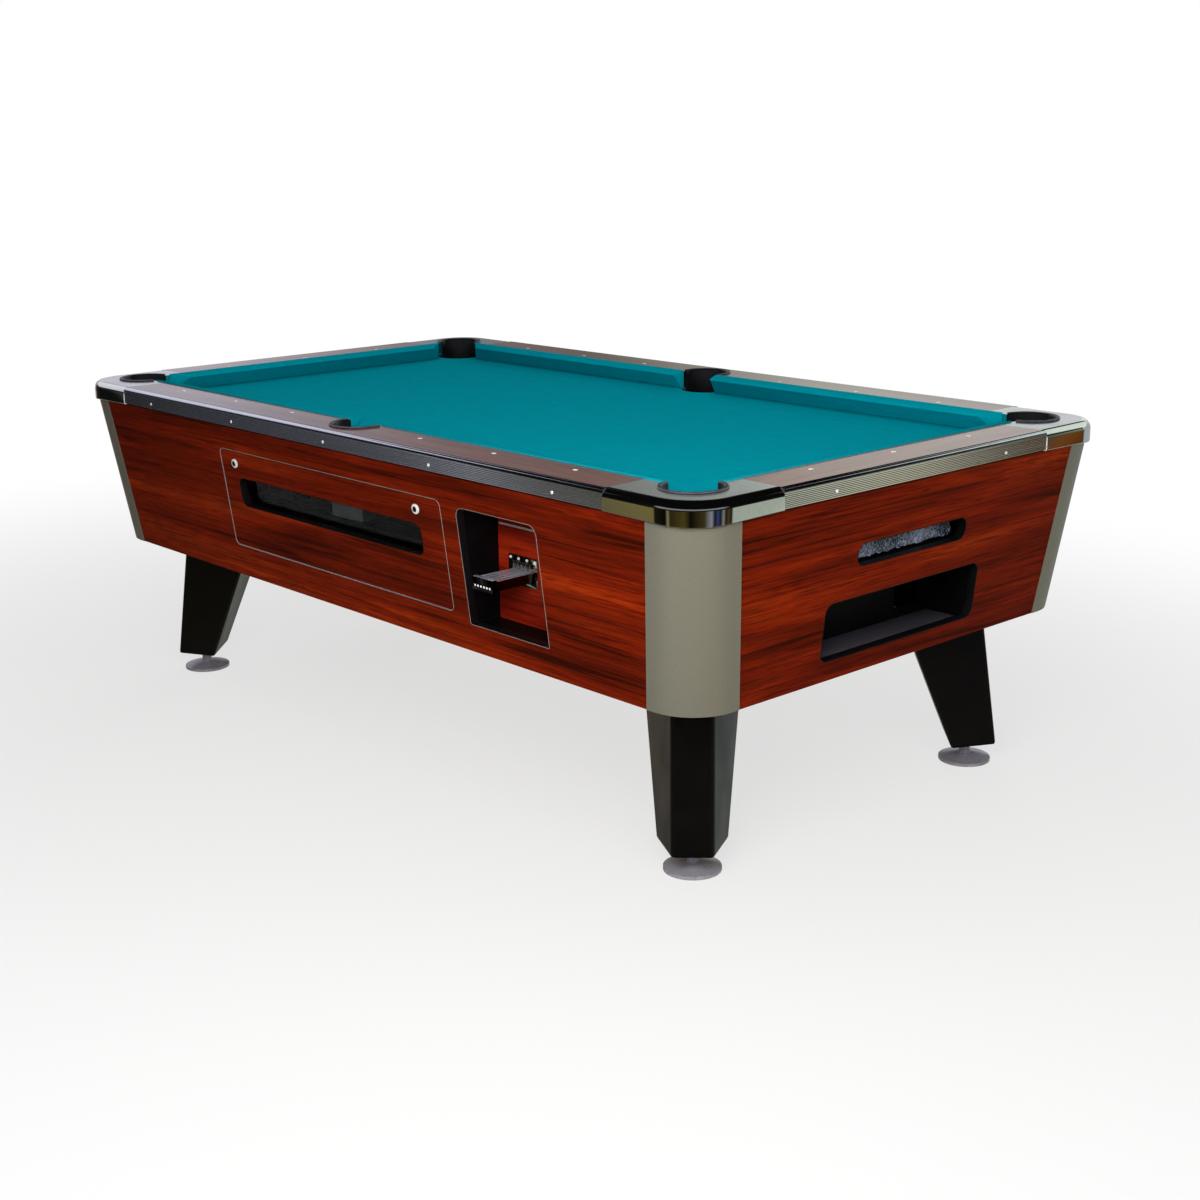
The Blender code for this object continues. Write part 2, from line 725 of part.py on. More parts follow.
def leg(corner):
    sx, sy = CORNERS[corner]
    out = Vector((sx, sy)).normalized()
    along = Vector((-out.y, out.x))
    square_corner = Vector((sx * face(half_length, LEG_HEIGHT), sy * face(half_width, LEG_HEIGHT)))

    def section(z, front, front_width, back, back_width):
        corners = [(front, -front_width), (front, front_width), (back, back_width), (back, -back_width)]
        return [(*(square_corner - out * inset + along * width / 2), z) for inset, width in corners]

    low = section(LEG_LOW, LEG_LOW_FRONT, LEG_LOW_FRONT_WIDTH, LEG_LOW_BACK, LEG_LOW_BACK_WIDTH)
    top = section(LEG_HEIGHT - GAP, LEG_TOP_FRONT, LEG_TOP_FRONT_WIDTH, LEG_TOP_BACK, LEG_TOP_BACK_WIDTH)
    made = loft(f"leg_{corner}", [low, top], "black satin")
    edges = made.modifiers.new("edges", "BEVEL")
    edges.width = LEG_BEVEL
    edges.segments = 2
    x, y = square_corner - out * FOOT_INSET
    hole = rod("stud_hole", STUD_RADIUS + RUNNING_GAP, LEG_LOW - STUD_RADIUS, LEG_LOW + STUD_HOLE_DEPTH,
               frame=Matrix.Translation((x, y, 0)))
    cut(made, hole)
    levelling_foot(f"leveller_{corner}", x, y)


for corner in CORNERS:
    leg(corner)


# Service door with its window pane, hinge rod and locks

front_frame = panel_frame("front")
hinge_height = up_slope(LEG_HEIGHT + DOOR_RISE) - DOOR_GAP / 2
hinge_frame = front_frame @ Matrix.Translation((DOOR_CENTRE, hinge_height, 0))
door_axis = bpy.data.objects.new("door_axis", None)
door_axis.matrix_basis = hinge_frame
door_axis.parent = root
parts.objects.link(door_axis)


def on_hinge(outline):
    return [(x - DOOR_CENTRE, y - hinge_height) for x, y in outline]


def hang(obj):
    """Makes a piece swing with the door."""
    obj.parent = door_axis
    obj.matrix_parent_inverse = hinge_frame.inverted()
    return obj


lock_places = {"left": LOCK_CENTRE - LOCK_SPACING / 2, "right": LOCK_CENTRE + LOCK_SPACING / 2}
lock_height = up_slope(LEG_HEIGHT + LOCK_RISE)
window_args = (WINDOW_CENTRE, WINDOW_WIDTH, WINDOW_RISE, WINDOW_HEIGHT, WINDOW_CORNER)
lock_holes = [circle((x, lock_height), LOCK_BARREL + RUNNING_GAP) for x in lock_places.values()]
door_loops = [panel_opening(*door_args), panel_opening(*window_args), *lock_holes]
hang(slab("service_door", [on_hinge(loop) for loop in door_loops], -PANEL, 0, "laminate", hinge_frame))
pane_outline = on_hinge(panel_opening(*window_args, grow=PANE_LAP))
hang(slab("door_window_pane", [pane_outline], -PANEL - GAP - PANE, -PANEL - GAP, "acrylic", hinge_frame))
rod("door_hinge_rod", HINGE_ROD / 2, -DOOR_WIDTH / 2 + DOOR_CORNER, DOOR_WIDTH / 2 - DOOR_CORNER, "steel",
    hinge_frame @ Matrix.Rotation(math.pi / 2, 4, "Y"))


def door_lock(name, x):
    """A cam lock: round head, barrel through the door, and a cam that lies level when unlocked."""
    frame = front_frame @ Matrix.Translation((x, lock_height, 0))
    cam_top = -PANEL - CAM_GAP
    lock = rod(name, LOCK_HEAD, GAP, LOCK_PROUD, "chrome", frame)
    barrel = rod("lock_barrel", LOCK_BARREL, cam_top - CAM, LOCK_PROUD / 2, frame=frame)
    cam = block("lock_cam", (-CAM_WIDTH / 2, -CAM_WIDTH / 2, cam_top - CAM),
                (CAM_LENGTH, CAM_WIDTH / 2, cam_top), frame=frame)
    hang(join(lock, barrel, cam))


for place_name, x in lock_places.items():
    door_lock(f"door_lock_{place_name}", x)


# Coin recess, coin slide and cash box

def beyond_panel(name, side, width, height):
    """A cutter that takes away what would reach into a side panel."""
    return block(name, (-width, -height, -PANEL - GAP), (width, height, PANEL + height),
                 frame=panel_frame(side))


coin_back = COIN_SETBACK - half_width
coin_low, coin_high = LEG_HEIGHT + COIN_RISE, LEG_HEIGHT + COIN_RISE + COIN_HEIGHT
coin_left, coin_right = COIN_CENTRE - COIN_WIDTH / 2, COIN_CENTRE + COIN_WIDTH / 2
slide_z = LEG_HEIGHT + SLIDE_RISE
slide_half = SLIDE_WIDTH / 2
slide_tail = coin_back + SLIDE_TAIL
finger_end = slide_tail + FINGER_LENGTH
slot_low, slot_high = slide_z - SLIDE_HEIGHT / 2 - LEVER_GAP, slide_z + SLIDE_HEIGHT / 2 + LEVER_GAP
lever_x = SLIDE_X + LEVER_REACH
lever_y = finger_end + LEVER_GAP + LEVER_WIDTH / 2
sleeve_half = slide_half + SLEEVE_WALL
sleeve_low, sleeve_high = slot_low - SLEEVE_WALL, slot_high + SLEEVE_WALL
coin_outer = rectangle(coin_left - COIN_WALL, coin_low - COIN_WALL,
                       coin_right + COIN_WALL, coin_high + COIN_WALL)


def coin_housing():
    inner = rectangle(coin_left, coin_low, coin_right, coin_high)
    loops = [rounded(coin_outer, *(radius + COIN_WALL for radius in coin_radii)), rounded(inner, *coin_radii)]
    housing = slab("coin_housing", loops, GAP - coin_back, half_width, "black board", FACING_FRONT)
    cut(housing, beyond_panel("housing_front", "front", half_length, TABLE_WIDTH))


def coin_board():
    passage = rectangle(SLIDE_X - sleeve_half - RUNNING_GAP, sleeve_low - RUNNING_GAP,
                        SLIDE_X + sleeve_half + RUNNING_GAP, sleeve_high + RUNNING_GAP)
    slab("coin_back_panel", [coin_outer, passage], -coin_back - COIN_BOARD, -coin_back,
         "laminate", FACING_FRONT)


def coin_chassis():
    """The slide's face plate and sleeve, with a shelf behind that carries the release lever's pin."""
    plate_half = sleeve_half + PLATE_MARGIN
    chassis = block("coin_chassis", (SLIDE_X - plate_half, coin_back - GAP - PLATE, slide_z - PLATE_BELOW),
                    (SLIDE_X + plate_half, coin_back - GAP, slide_z + PLATE_ABOVE), "chrome")
    sleeve = block("coin_sleeve", (SLIDE_X - sleeve_half, coin_back - PLATE / 2, sleeve_low),
                   (SLIDE_X + sleeve_half, coin_back + SLEEVE_LENGTH, sleeve_high))
    shelf_front = coin_back + SLEEVE_LENGTH - SHELF_MARGIN
    shelf = block("lever_shelf", (SLIDE_X - sleeve_half, shelf_front, sleeve_low),
                  (lever_x + SHELF_MARGIN, lever_y + SHELF_MARGIN, slot_low))
    passage = block("slide_passage", (SLIDE_X - slide_half - LEVER_GAP, -half_width, slot_low),
                    (SLIDE_X + slide_half + LEVER_GAP, 0, slot_high))
    pin = rod("lever_pin", LEVER_PIN, (sleeve_low + slot_low) / 2, slot_high,
              frame=Matrix.Translation((lever_x, lever_y, 0)))
    join(chassis, sleeve)
    cut(chassis, passage)
    join(chassis, shelf, pin)


def coin_slide():
    front = -SLIDE_REACH + coin_back
    slide = block("coin_slide", (SLIDE_X - slide_half, front, slide_z - SLIDE_HEIGHT / 2),
                  (SLIDE_X + slide_half, slide_tail, slide_z + SLIDE_HEIGHT / 2), "steel")
    thick = SLIDE_HEIGHT / 4
    finger = block("slide_finger", (SLIDE_X - FINGER_WIDTH / 2, slide_tail - FINGER_WIDTH, slide_z - thick),
                   (SLIDE_X + FINGER_WIDTH / 2, finger_end, slide_z + thick))
    handle = block("slide_handle", (SLIDE_X - slide_half, front, slide_z - SLIDE_HANDLE_HEIGHT / 2),
                   (SLIDE_X + slide_half, front + SLIDE_HANDLE, slide_z + SLIDE_HANDLE_HEIGHT / 2))
    join(slide, finger, handle)
    for i in range(COIN_SLOT_COUNT):
        x = SLIDE_X + (i - (COIN_SLOT_COUNT - 1) / 2) * COIN_SLOT_PITCH
        near = front + SLIDE_HANDLE + COIN_SLOT_FROM_HANDLE
        top = slide_z + SLIDE_HEIGHT / 2
        cut(slide, block("coin_slot", (x - COIN_SLOT_WIDTH / 2, near, top - COIN_SLOT_DEPTH),
                         (x + COIN_SLOT_WIDTH / 2, near + COIN_SLOT_LENGTH, top + COIN_SLOT_DEPTH)))


def release_lever():
    """A flat lever on a pin, which the slide's finger pushes to let the balls go."""
    half = LEVER_WIDTH / 2
    hole = circle((0, 0), LEVER_PIN + RUNNING_GAP)
    outline = rectangle(-LEVER_REACH - half, -half, LEVER_TAIL, half)
    low = slot_low + LEVER_LIFT
    frame = Matrix.Translation((lever_x, lever_y, 0))
    slab("release_lever", [outline, hole], low, low + LEVER, "steel", frame)


def open_box(name, low, high, wall, finish):
    box = block(name, low, high, finish)
    hollow_low = [value + wall for value in low]
    hollow_high = [high[0] - wall, high[1] - wall, high[2] + wall]
    return cut(box, block(f"{name}_inside", hollow_low, hollow_high))


coin_housing()
coin_board()
coin_chassis()
coin_slide()
release_lever()
cash_front = coin_back + COIN_BOARD + CASH_BEHIND_BOARD
cash_low = floor_top + GAP
open_box("cash_box", (COIN_CENTRE - CASH_WIDTH / 2, cash_front, cash_low),
         (COIN_CENTRE + CASH_WIDTH / 2, cash_front + CASH_DEPTH, cash_low + CASH_HEIGHT), CASH_WALL, "steel")


# Ball runway and ball tray

catch_x = pocket_x + RUNWAY_CATCH
runway_outer_y = inside(half_width, bearer_low) - RUNWAY_OUTER_GAP
chute_end = -runway_front_y - CHUTE_LENGTH
runway_far = (catch_x - RUNWAY_OUT_X) * RUNWAY_FALL_X + (runway_outer_y + runway_front_y) * RUNWAY_FALL_Y
runway_floor = bearer_low - RUNWAY_BELOW_FRAME - RUNWAY_WALL - runway_far


def runway_height(x, y):
    """The runway falls towards its outlet, along both side channels and across the table."""
    return runway_floor + abs(x - RUNWAY_OUT_X) * RUNWAY_FALL_X + (y + runway_front_y) * RUNWAY_FALL_Y


def runway_cells(x, y):
    """Whether the runway covers this place: its channels, the catches under the pockets, or the chute."""
    side, reach = abs(y), abs(x)
    cross = abs(x - RUNWAY_OUT_X) < RUNWAY_WIDTH / 2
    channel = RUNWAY_INNER_Y < side < runway_front_y and reach < catch_x
    corner_catch = RUNWAY_INNER_Y < side < runway_outer_y and catch_x - 2 * RUNWAY_CATCH < reach < catch_x
    side_catch = RUNWAY_INNER_Y < side < runway_outer_y and reach < RUNWAY_CATCH
    return channel or corner_catch or side_catch or (cross and chute_end < y < runway_front_y)


def ball_runway():
    """An open sheet channel drawn from plan cells, with walls along its edges and an open outlet."""
    cross = RUNWAY_WIDTH / 2
    xs = sorted([RUNWAY_OUT_X - cross, RUNWAY_OUT_X, RUNWAY_OUT_X + cross, -RUNWAY_CATCH, RUNWAY_CATCH,
                 -catch_x, 2 * RUNWAY_CATCH - catch_x, catch_x - 2 * RUNWAY_CATCH, catch_x])
    ys = sorted([-runway_outer_y, chute_end, -runway_front_y, -RUNWAY_INNER_Y,
                 RUNWAY_INNER_Y, runway_front_y, runway_outer_y])
    bm = bmesh.new()
    corners = {}

    def corner_at(i, j):
        if (i, j) not in corners:
            corners[i, j] = bm.verts.new((xs[i], ys[j], runway_height(xs[i], ys[j])))
        return corners[i, j]

    for i in range(len(xs) - 1):
        for j in range(len(ys) - 1):
            if runway_cells((xs[i] + xs[i + 1]) / 2, (ys[j] + ys[j + 1]) / 2):
                around = ((i, j), (i + 1, j), (i + 1, j + 1), (i, j + 1))
                bm.faces.new([corner_at(*place) for place in around])
    outlet = Vector((RUNWAY_OUT_X, chute_end))
    walls = []
    for edge in bm.edges:
        middle = (edge.verts[0].co + edge.verts[1].co) / 2
        at_outlet = abs(middle.y - outlet.y) < GAP and abs(middle.x - outlet.x) < cross
        if edge.is_boundary and not at_outlet:
            walls.append(edge)
    raised = bmesh.ops.extrude_edge_only(bm, edges=walls)["geom"]
    tops = [v for v in raised if isinstance(v, bmesh.types.BMVert)]
    bmesh.ops.translate(bm, verts=tops, vec=(0, 0, RUNWAY_WALL))
    runway = solid("ball_runway", bm, Matrix(), "grey plastic")
    sheet = runway.modifiers.new("sheet", "SOLIDIFY")
    sheet.thickness = RUNWAY_SHEET
    sheet.offset = 0


def runway_hangers():
    """Straps from the bearers down the runway's inner walls."""
    near = RUNWAY_INNER_Y - RUNWAY_SHEET / 2 - GAP
    for x in (-OUTER_BEARER_X, OUTER_BEARER_X):
        for sign in (-1, 1):
            low = runway_height(x, sign * near) + RUNWAY_WALL / 4
            low_y, high_y = sorted((sign * (near - HANGER), sign * near))
            join(bearers, block("runway_hanger", (x - HANGER_WIDTH / 2, low_y, low),
                                (x + HANGER_WIDTH / 2, high_y, bearer_top - BEARER_DEPTH / 4)))


def ball_tray():
    """A trough behind the window, on two legs from the cabinet floor."""
    low = LEG_HEIGHT + WINDOW_RISE - TRAY_BELOW_WINDOW
    front = TRAY_FRONT_GAP + PANE - inside(half_width, low)
    back = front + TRAY_DEPTH
    left, right = WINDOW_CENTRE - TRAY_LENGTH / 2, WINDOW_CENTRE + TRAY_LENGTH / 2
    high = low + TRAY_BACK_RISE
    tray = block("ball_tray", (left, front, low - TRAY_WALL), (right, back, high), "black board")
    trough = block("tray_inside", (left + TRAY_WALL, front + TRAY_WALL, low),
                   (right - TRAY_WALL, back - TRAY_WALL, high + TRAY_WALL))
    view = block("tray_front", (left - TRAY_WALL, front - TRAY_WALL, low + TRAY_FRONT_RISE),
                 (right + TRAY_WALL, front + 2 * TRAY_WALL, high + TRAY_WALL))
    cut(tray, trough, view)
    for x in (left + TRAY_LEG_INSET, right - TRAY_LEG_INSET):
        join(tray, block("tray_leg", (x - TRAY_LEG / 2, back - TRAY_LEG, floor_top + GAP),
                         (x + TRAY_LEG / 2, back, low - TRAY_WALL / 2)))


ball_runway()
runway_hangers()
ball_tray()


# Ball return and rack store at the foot end

return_low, return_high = LEG_HEIGHT + RETURN_RISE, LEG_HEIGHT + RETURN_RISE + RETURN_HEIGHT
rack_low = LEG_HEIGHT + RACK_SLOT_RISE + PANEL * math.sin(tilt) + RACK_LIFT


def return_box():
    front, rear = RETURN_CENTRE - RETURN_WIDTH / 2, RETURN_CENTRE + RETURN_WIDTH / 2
    outer = rectangle(front - RETURN_WALL, return_low - RETURN_WALL, rear + RETURN_WALL, return_high + RETURN_WALL)
    inner = rectangle(front, return_low, rear, return_high)
    back = half_length - RETURN_DEPTH
    box = slab("return_box", [rounded(outer, RETURN_CORNER + RETURN_WALL)], back, half_length,
               "black board", FACING_FOOT)
    hollow = slab("return_inside", [rounded(inner, RETURN_CORNER)],
                  back + RETURN_WALL, half_length + RETURN_WALL, frame=FACING_FOOT)
    entry_low = return_low + RETURN_CORNER
    entry = block("ball_entry", (back - RETURN_WALL, ENTRY_Y - ENTRY_WIDTH / 2, entry_low),
                  (back + 2 * RETURN_WALL, ENTRY_Y + ENTRY_WIDTH / 2, entry_low + ENTRY_HEIGHT))
    cut(box, hollow, entry, beyond_panel("return_front", "foot", half_width, TABLE_WIDTH))


def rack_shelf():
    """A bridge over the ball return that carries the rack level with its slot."""
    half = RETURN_WIDTH / 2 + RETURN_WALL + SHELF_SIDE_GAP
    front, rear = RETURN_CENTRE - half, RETURN_CENTRE + half
    top = rack_low - GAP
    foot = floor_top + GAP
    outline = [(front - SHELF_CHEEK, foot), (front, foot), (front, top - SHELF), (rear, top - SHELF), (rear, foot),
               (rear + SHELF_CHEEK, foot), (rear + SHELF_CHEEK, top), (front - SHELF_CHEEK, top)]
    back = inside(half_length, top) - SHELF_LENGTH
    shelf = slab("rack_shelf", [outline], back, half_length, "black board", FACING_FOOT)
    cut(shelf, beyond_panel("shelf_front", "foot", half_width, TABLE_WIDTH))


def triangle_rack():
    height = RACK_SIDE * math.sqrt(3) / 2
    base = half_length - RACK_SETBACK
    corners = [Vector((base, -RACK_SIDE / 2)), Vector((base, RACK_SIDE / 2)), Vector((base - height, 0))]
    middle = sum(corners, Vector((0, 0))) / 3
    shrink = 1 - RACK_WALL / (height / 3)
    inner = [middle + (point - middle) * shrink for point in corners]
    loops = [rounded(corners, RACK_CORNER), rounded(inner, RACK_CORNER - RACK_WALL)]
    slab("triangle_rack", loops, rack_low, rack_low + RACK_HEIGHT, "black satin")


return_box()
rack_shelf()
triangle_rack()
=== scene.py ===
import math

import bmesh
import bpy
from mathutils import Euler, Matrix, Vector


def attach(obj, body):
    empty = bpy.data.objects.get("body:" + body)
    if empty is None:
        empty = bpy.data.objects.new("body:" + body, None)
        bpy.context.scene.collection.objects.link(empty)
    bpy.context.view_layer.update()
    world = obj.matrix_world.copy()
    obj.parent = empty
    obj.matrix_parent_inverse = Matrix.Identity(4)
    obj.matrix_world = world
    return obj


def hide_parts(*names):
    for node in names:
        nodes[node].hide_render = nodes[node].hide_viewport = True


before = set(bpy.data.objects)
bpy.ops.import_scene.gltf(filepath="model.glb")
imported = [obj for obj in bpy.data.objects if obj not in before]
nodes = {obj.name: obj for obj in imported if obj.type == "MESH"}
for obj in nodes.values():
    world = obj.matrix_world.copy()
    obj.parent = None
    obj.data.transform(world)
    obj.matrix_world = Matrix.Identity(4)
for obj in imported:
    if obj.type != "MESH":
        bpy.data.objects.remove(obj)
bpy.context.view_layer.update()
print("frame loaded with", len(nodes), "nodes")

bpy.context.scene.view_settings.view_transform = "Standard"

# sizes that several pieces share, in metres
table = {
    "halfLength": 1.143,
    "halfWidth": 0.6477,
    "legHeight": 0.3743,
    "insetLow": 0.056,
    "slope": 0.124737,
    "bedTop": 0.754,
    "railTop": 0.797,
    "railWidth": 0.118,
    "cornerRadius": 0.102,
}
lean = math.atan(table["slope"])
sideTurn = {"front": 0, "foot": math.pi / 2, "rear": math.pi, "head": -math.pi / 2}
corners = ["front_head", "front_foot", "rear_head", "rear_foot"]


# colours, nodes and finishes

def linear(hexColour):
    parts = [int(hexColour[i:i + 2], 16) / 255 for i in (1, 3, 5)]
    return tuple(p / 12.92 if p <= 0.04045 else ((p + 0.055) / 1.055) ** 2.4 for p in parts) + (1.0,)


def rate(size):
    return 1000 / size  # a size in millimetres as a texture scale per metre


def addNode(tree, kind, inputs=None, stops=None, **settings):
    node = tree.nodes.new(kind)
    for name, value in settings.items():
        setattr(node, name, value)
    for socket, value in (inputs or {}).items():
        if isinstance(value, bpy.types.NodeSocket):
            tree.links.new(value, node.inputs[socket])
        else:
            node.inputs[socket].default_value = value
    if stops:
        ramp = node.color_ramp.elements
        while len(ramp) < len(stops):
            ramp.new(1.0)
        for element, (place, colour) in zip(ramp, stops):
            element.position = place
            element.color = linear(colour)
    return node


def newFinish(name, **sockets):
    finish = bpy.data.materials.new(name)
    finish.use_nodes = True
    tree = finish.node_tree
    shader = tree.nodes["Principled BSDF"]
    for socket, value in sockets.items():
        shader.inputs[socket.replace("_", " ")].default_value = value
    place = addNode(tree, "ShaderNodeTexCoord").outputs["Object"]
    return finish, tree, shader, place


# figure, rings, streaks and pores of the wood: length and width in mm, noise detail and twist;
# the pores are drawn about three times as wide as real ones so that they show
grain = [(1300, 66, 3.0, 0.9), (900, 58, 3.0, 0.9), (420, 8.0, 4.0, 0.9), (60, 2.6, 1.0, 0.3)]


def grainedWood(name, longAxes, colours, roughness, gloss):
    # printed high-pressure laminate, pressed satin, or the bare pine inside: broad level figure,
    # faint growth-ring veins, thin dark streaks and pores
    finish, tree, shader, place = newFinish(name, Roughness=roughness, IOR=1.5, Specular_IOR_Level=gloss)
    values = []
    for length, width, detail, twist in grain:
        scale = [rate(length if axis in longAxes else width) for axis in "xyz"]
        spread = addNode(tree, "ShaderNodeMapping", {"Vector": place, "Scale": scale})
        values.append(addNode(tree, "ShaderNodeTexNoise", {
            "Vector": spread.outputs[0], "Scale": 1.0, "Detail": detail, "Distortion": twist}).outputs[0])
    figure, rings, streaks, pores = values
    blended = addNode(tree, "ShaderNodeMix", {0: 0.45, 2: figure, 3: streaks})
    shade = addNode(tree, "ShaderNodeValToRGB", {0: blended.outputs[0]},
                    stops=list(zip((0.36, 0.45, 0.53, 0.63), colours))).outputs[0]
    folded = addNode(tree, "ShaderNodeMath", {0: rings, 1: 0.030}, operation="PINGPONG")
    vein = addNode(tree, "ShaderNodeMapRange", {0: folded.outputs[0], 1: 0.010, 2: 0.029, 3: 0.0, 4: 0.35})
    broken = addNode(tree, "ShaderNodeMapRange", {0: streaks, 1: 0.40, 2: 0.60, 3: 1.0, 4: 0.15})
    veinMask = addNode(tree, "ShaderNodeMath", {0: vein.outputs[0], 1: broken.outputs[0]}, operation="MULTIPLY")
    streakMask = addNode(tree, "ShaderNodeMapRange", {0: streaks, 1: 0.52, 2: 0.64, 3: 0.0, 4: 0.7})
    poreMask = addNode(tree, "ShaderNodeMapRange", {0: pores, 1: 0.55, 2: 0.70, 3: 0.0, 4: 0.5})
    for mask in (veinMask, streakMask, poreMask):
        shade = addNode(tree, "ShaderNodeMix", {0: mask.outputs[0], 6: shade, 7: linear(colours[0])},
                        data_type="RGBA").outputs[2]
    tree.links.new(shade, shader.inputs["Base Color"])
    bump = addNode(tree, "ShaderNodeBump", {"Height": pores, "Strength": 0.10, "Distance": 0.0002}, invert=True)
    tree.links.new(bump.outputs[0], shader.inputs["Normal"])
    return finish


def speckledFinish(name, colours, roughness, size, bumpHeight=0.0, spread=(0.35, 0.65), **sockets):
    # a plain moulded, painted or cast surface with the slight mottling that handling leaves on it
    finish, tree, shader, place = newFinish(name, **sockets)
    broad = addNode(tree, "ShaderNodeTexNoise", {"Vector": place, "Scale": rate(size * 18), "Detail": 2.0}).outputs[0]
    fine = addNode(tree, "ShaderNodeTexNoise", {"Vector": place, "Scale": rate(size), "Detail": 3.0}).outputs[0]
    both = addNode(tree, "ShaderNodeMix", {0: 0.5, 2: broad, 3: fine}).outputs[0]
    tint = addNode(tree, "ShaderNodeValToRGB", {0: both}, stops=list(zip(spread, colours)))
    dull = addNode(tree, "ShaderNodeMapRange", {0: broad, 1: 0.3, 2: 0.7, 3: roughness[0], 4: roughness[1]})
    tree.links.new(tint.outputs[0], shader.inputs["Base Color"])
    tree.links.new(dull.outputs[0], shader.inputs["Roughness"])
    if bumpHeight:
        bump = addNode(tree, "ShaderNodeBump", {"Height": fine, "Strength": 0.4, "Distance": bumpHeight})
        tree.links.new(bump.outputs[0], shader.inputs["Normal"])
    return finish


def brushedAluminium(name, colours, roughness, strokes, metal, depth):
    # aluminium brushed one way: long fine strokes; strokes gives their size along x, y and z in mm,
    # drawn about three times as wide as real ones so that they show
    finish, tree, shader, place = newFinish(name, Metallic=metal)
    spread = addNode(tree, "ShaderNodeMapping", {"Vector": place, "Scale": [rate(size) for size in strokes]})
    stroke = addNode(tree, "ShaderNodeTexNoise", {"Vector": spread.outputs[0], "Scale": 1.0, "Detail": 3.0}).outputs[0]
    tint = addNode(tree, "ShaderNodeValToRGB", {0: stroke}, stops=[(0.32, colours[0]), (0.68, colours[1])])
    dull = addNode(tree, "ShaderNodeMapRange", {0: stroke, 1: 0.3, 2: 0.7, 3: roughness[0], 4: roughness[1]})
    bump = addNode(tree, "ShaderNodeBump", {"Height": stroke, "Strength": depth, "Distance": 0.0001})
    tree.links.new(tint.outputs[0], shader.inputs["Base Color"])
    tree.links.new(dull.outputs[0], shader.inputs["Roughness"])
    tree.links.new(bump.outputs[0], shader.inputs["Normal"])
    return finish


def billiardCloth(name):
    # napped worsted wool stretched tight: matt, with a soft fibre sheen and a faint lengthwise nap;
    # the 0.6 mm fibre mottle is drawn at 2.5 mm so that it shows
    finish, tree, shader, place = newFinish(name, Roughness=0.92, Sheen_Weight=0.01, Sheen_Roughness=0.45,
                                            Specular_IOR_Level=0.01)
    shader.inputs["Sheen Tint"].default_value = linear("#00a0ae")
    nap = addNode(tree, "ShaderNodeMapping", {"Vector": place, "Scale": (rate(60), rate(9), rate(9))})
    naps = addNode(tree, "ShaderNodeTexNoise", {"Vector": nap.outputs[0], "Scale": 1.0, "Detail": 2.0}).outputs[0]
    fibre = addNode(tree, "ShaderNodeTexNoise", {"Vector": place, "Scale": rate(2.5), "Detail": 4.0}).outputs[0]
    both = addNode(tree, "ShaderNodeMix", {0: 0.6, 2: naps, 3: fibre}).outputs[0]
    tint = addNode(tree, "ShaderNodeValToRGB", {0: both}, stops=[(0.34, "#007c8a"), (0.66, "#008a9a")])
    bump = addNode(tree, "ShaderNodeBump", {"Height": fibre, "Strength": 0.25, "Distance": 0.0004})
    tree.links.new(tint.outputs[0], shader.inputs["Base Color"])
    tree.links.new(bump.outputs[0], shader.inputs["Normal"])
    return finish


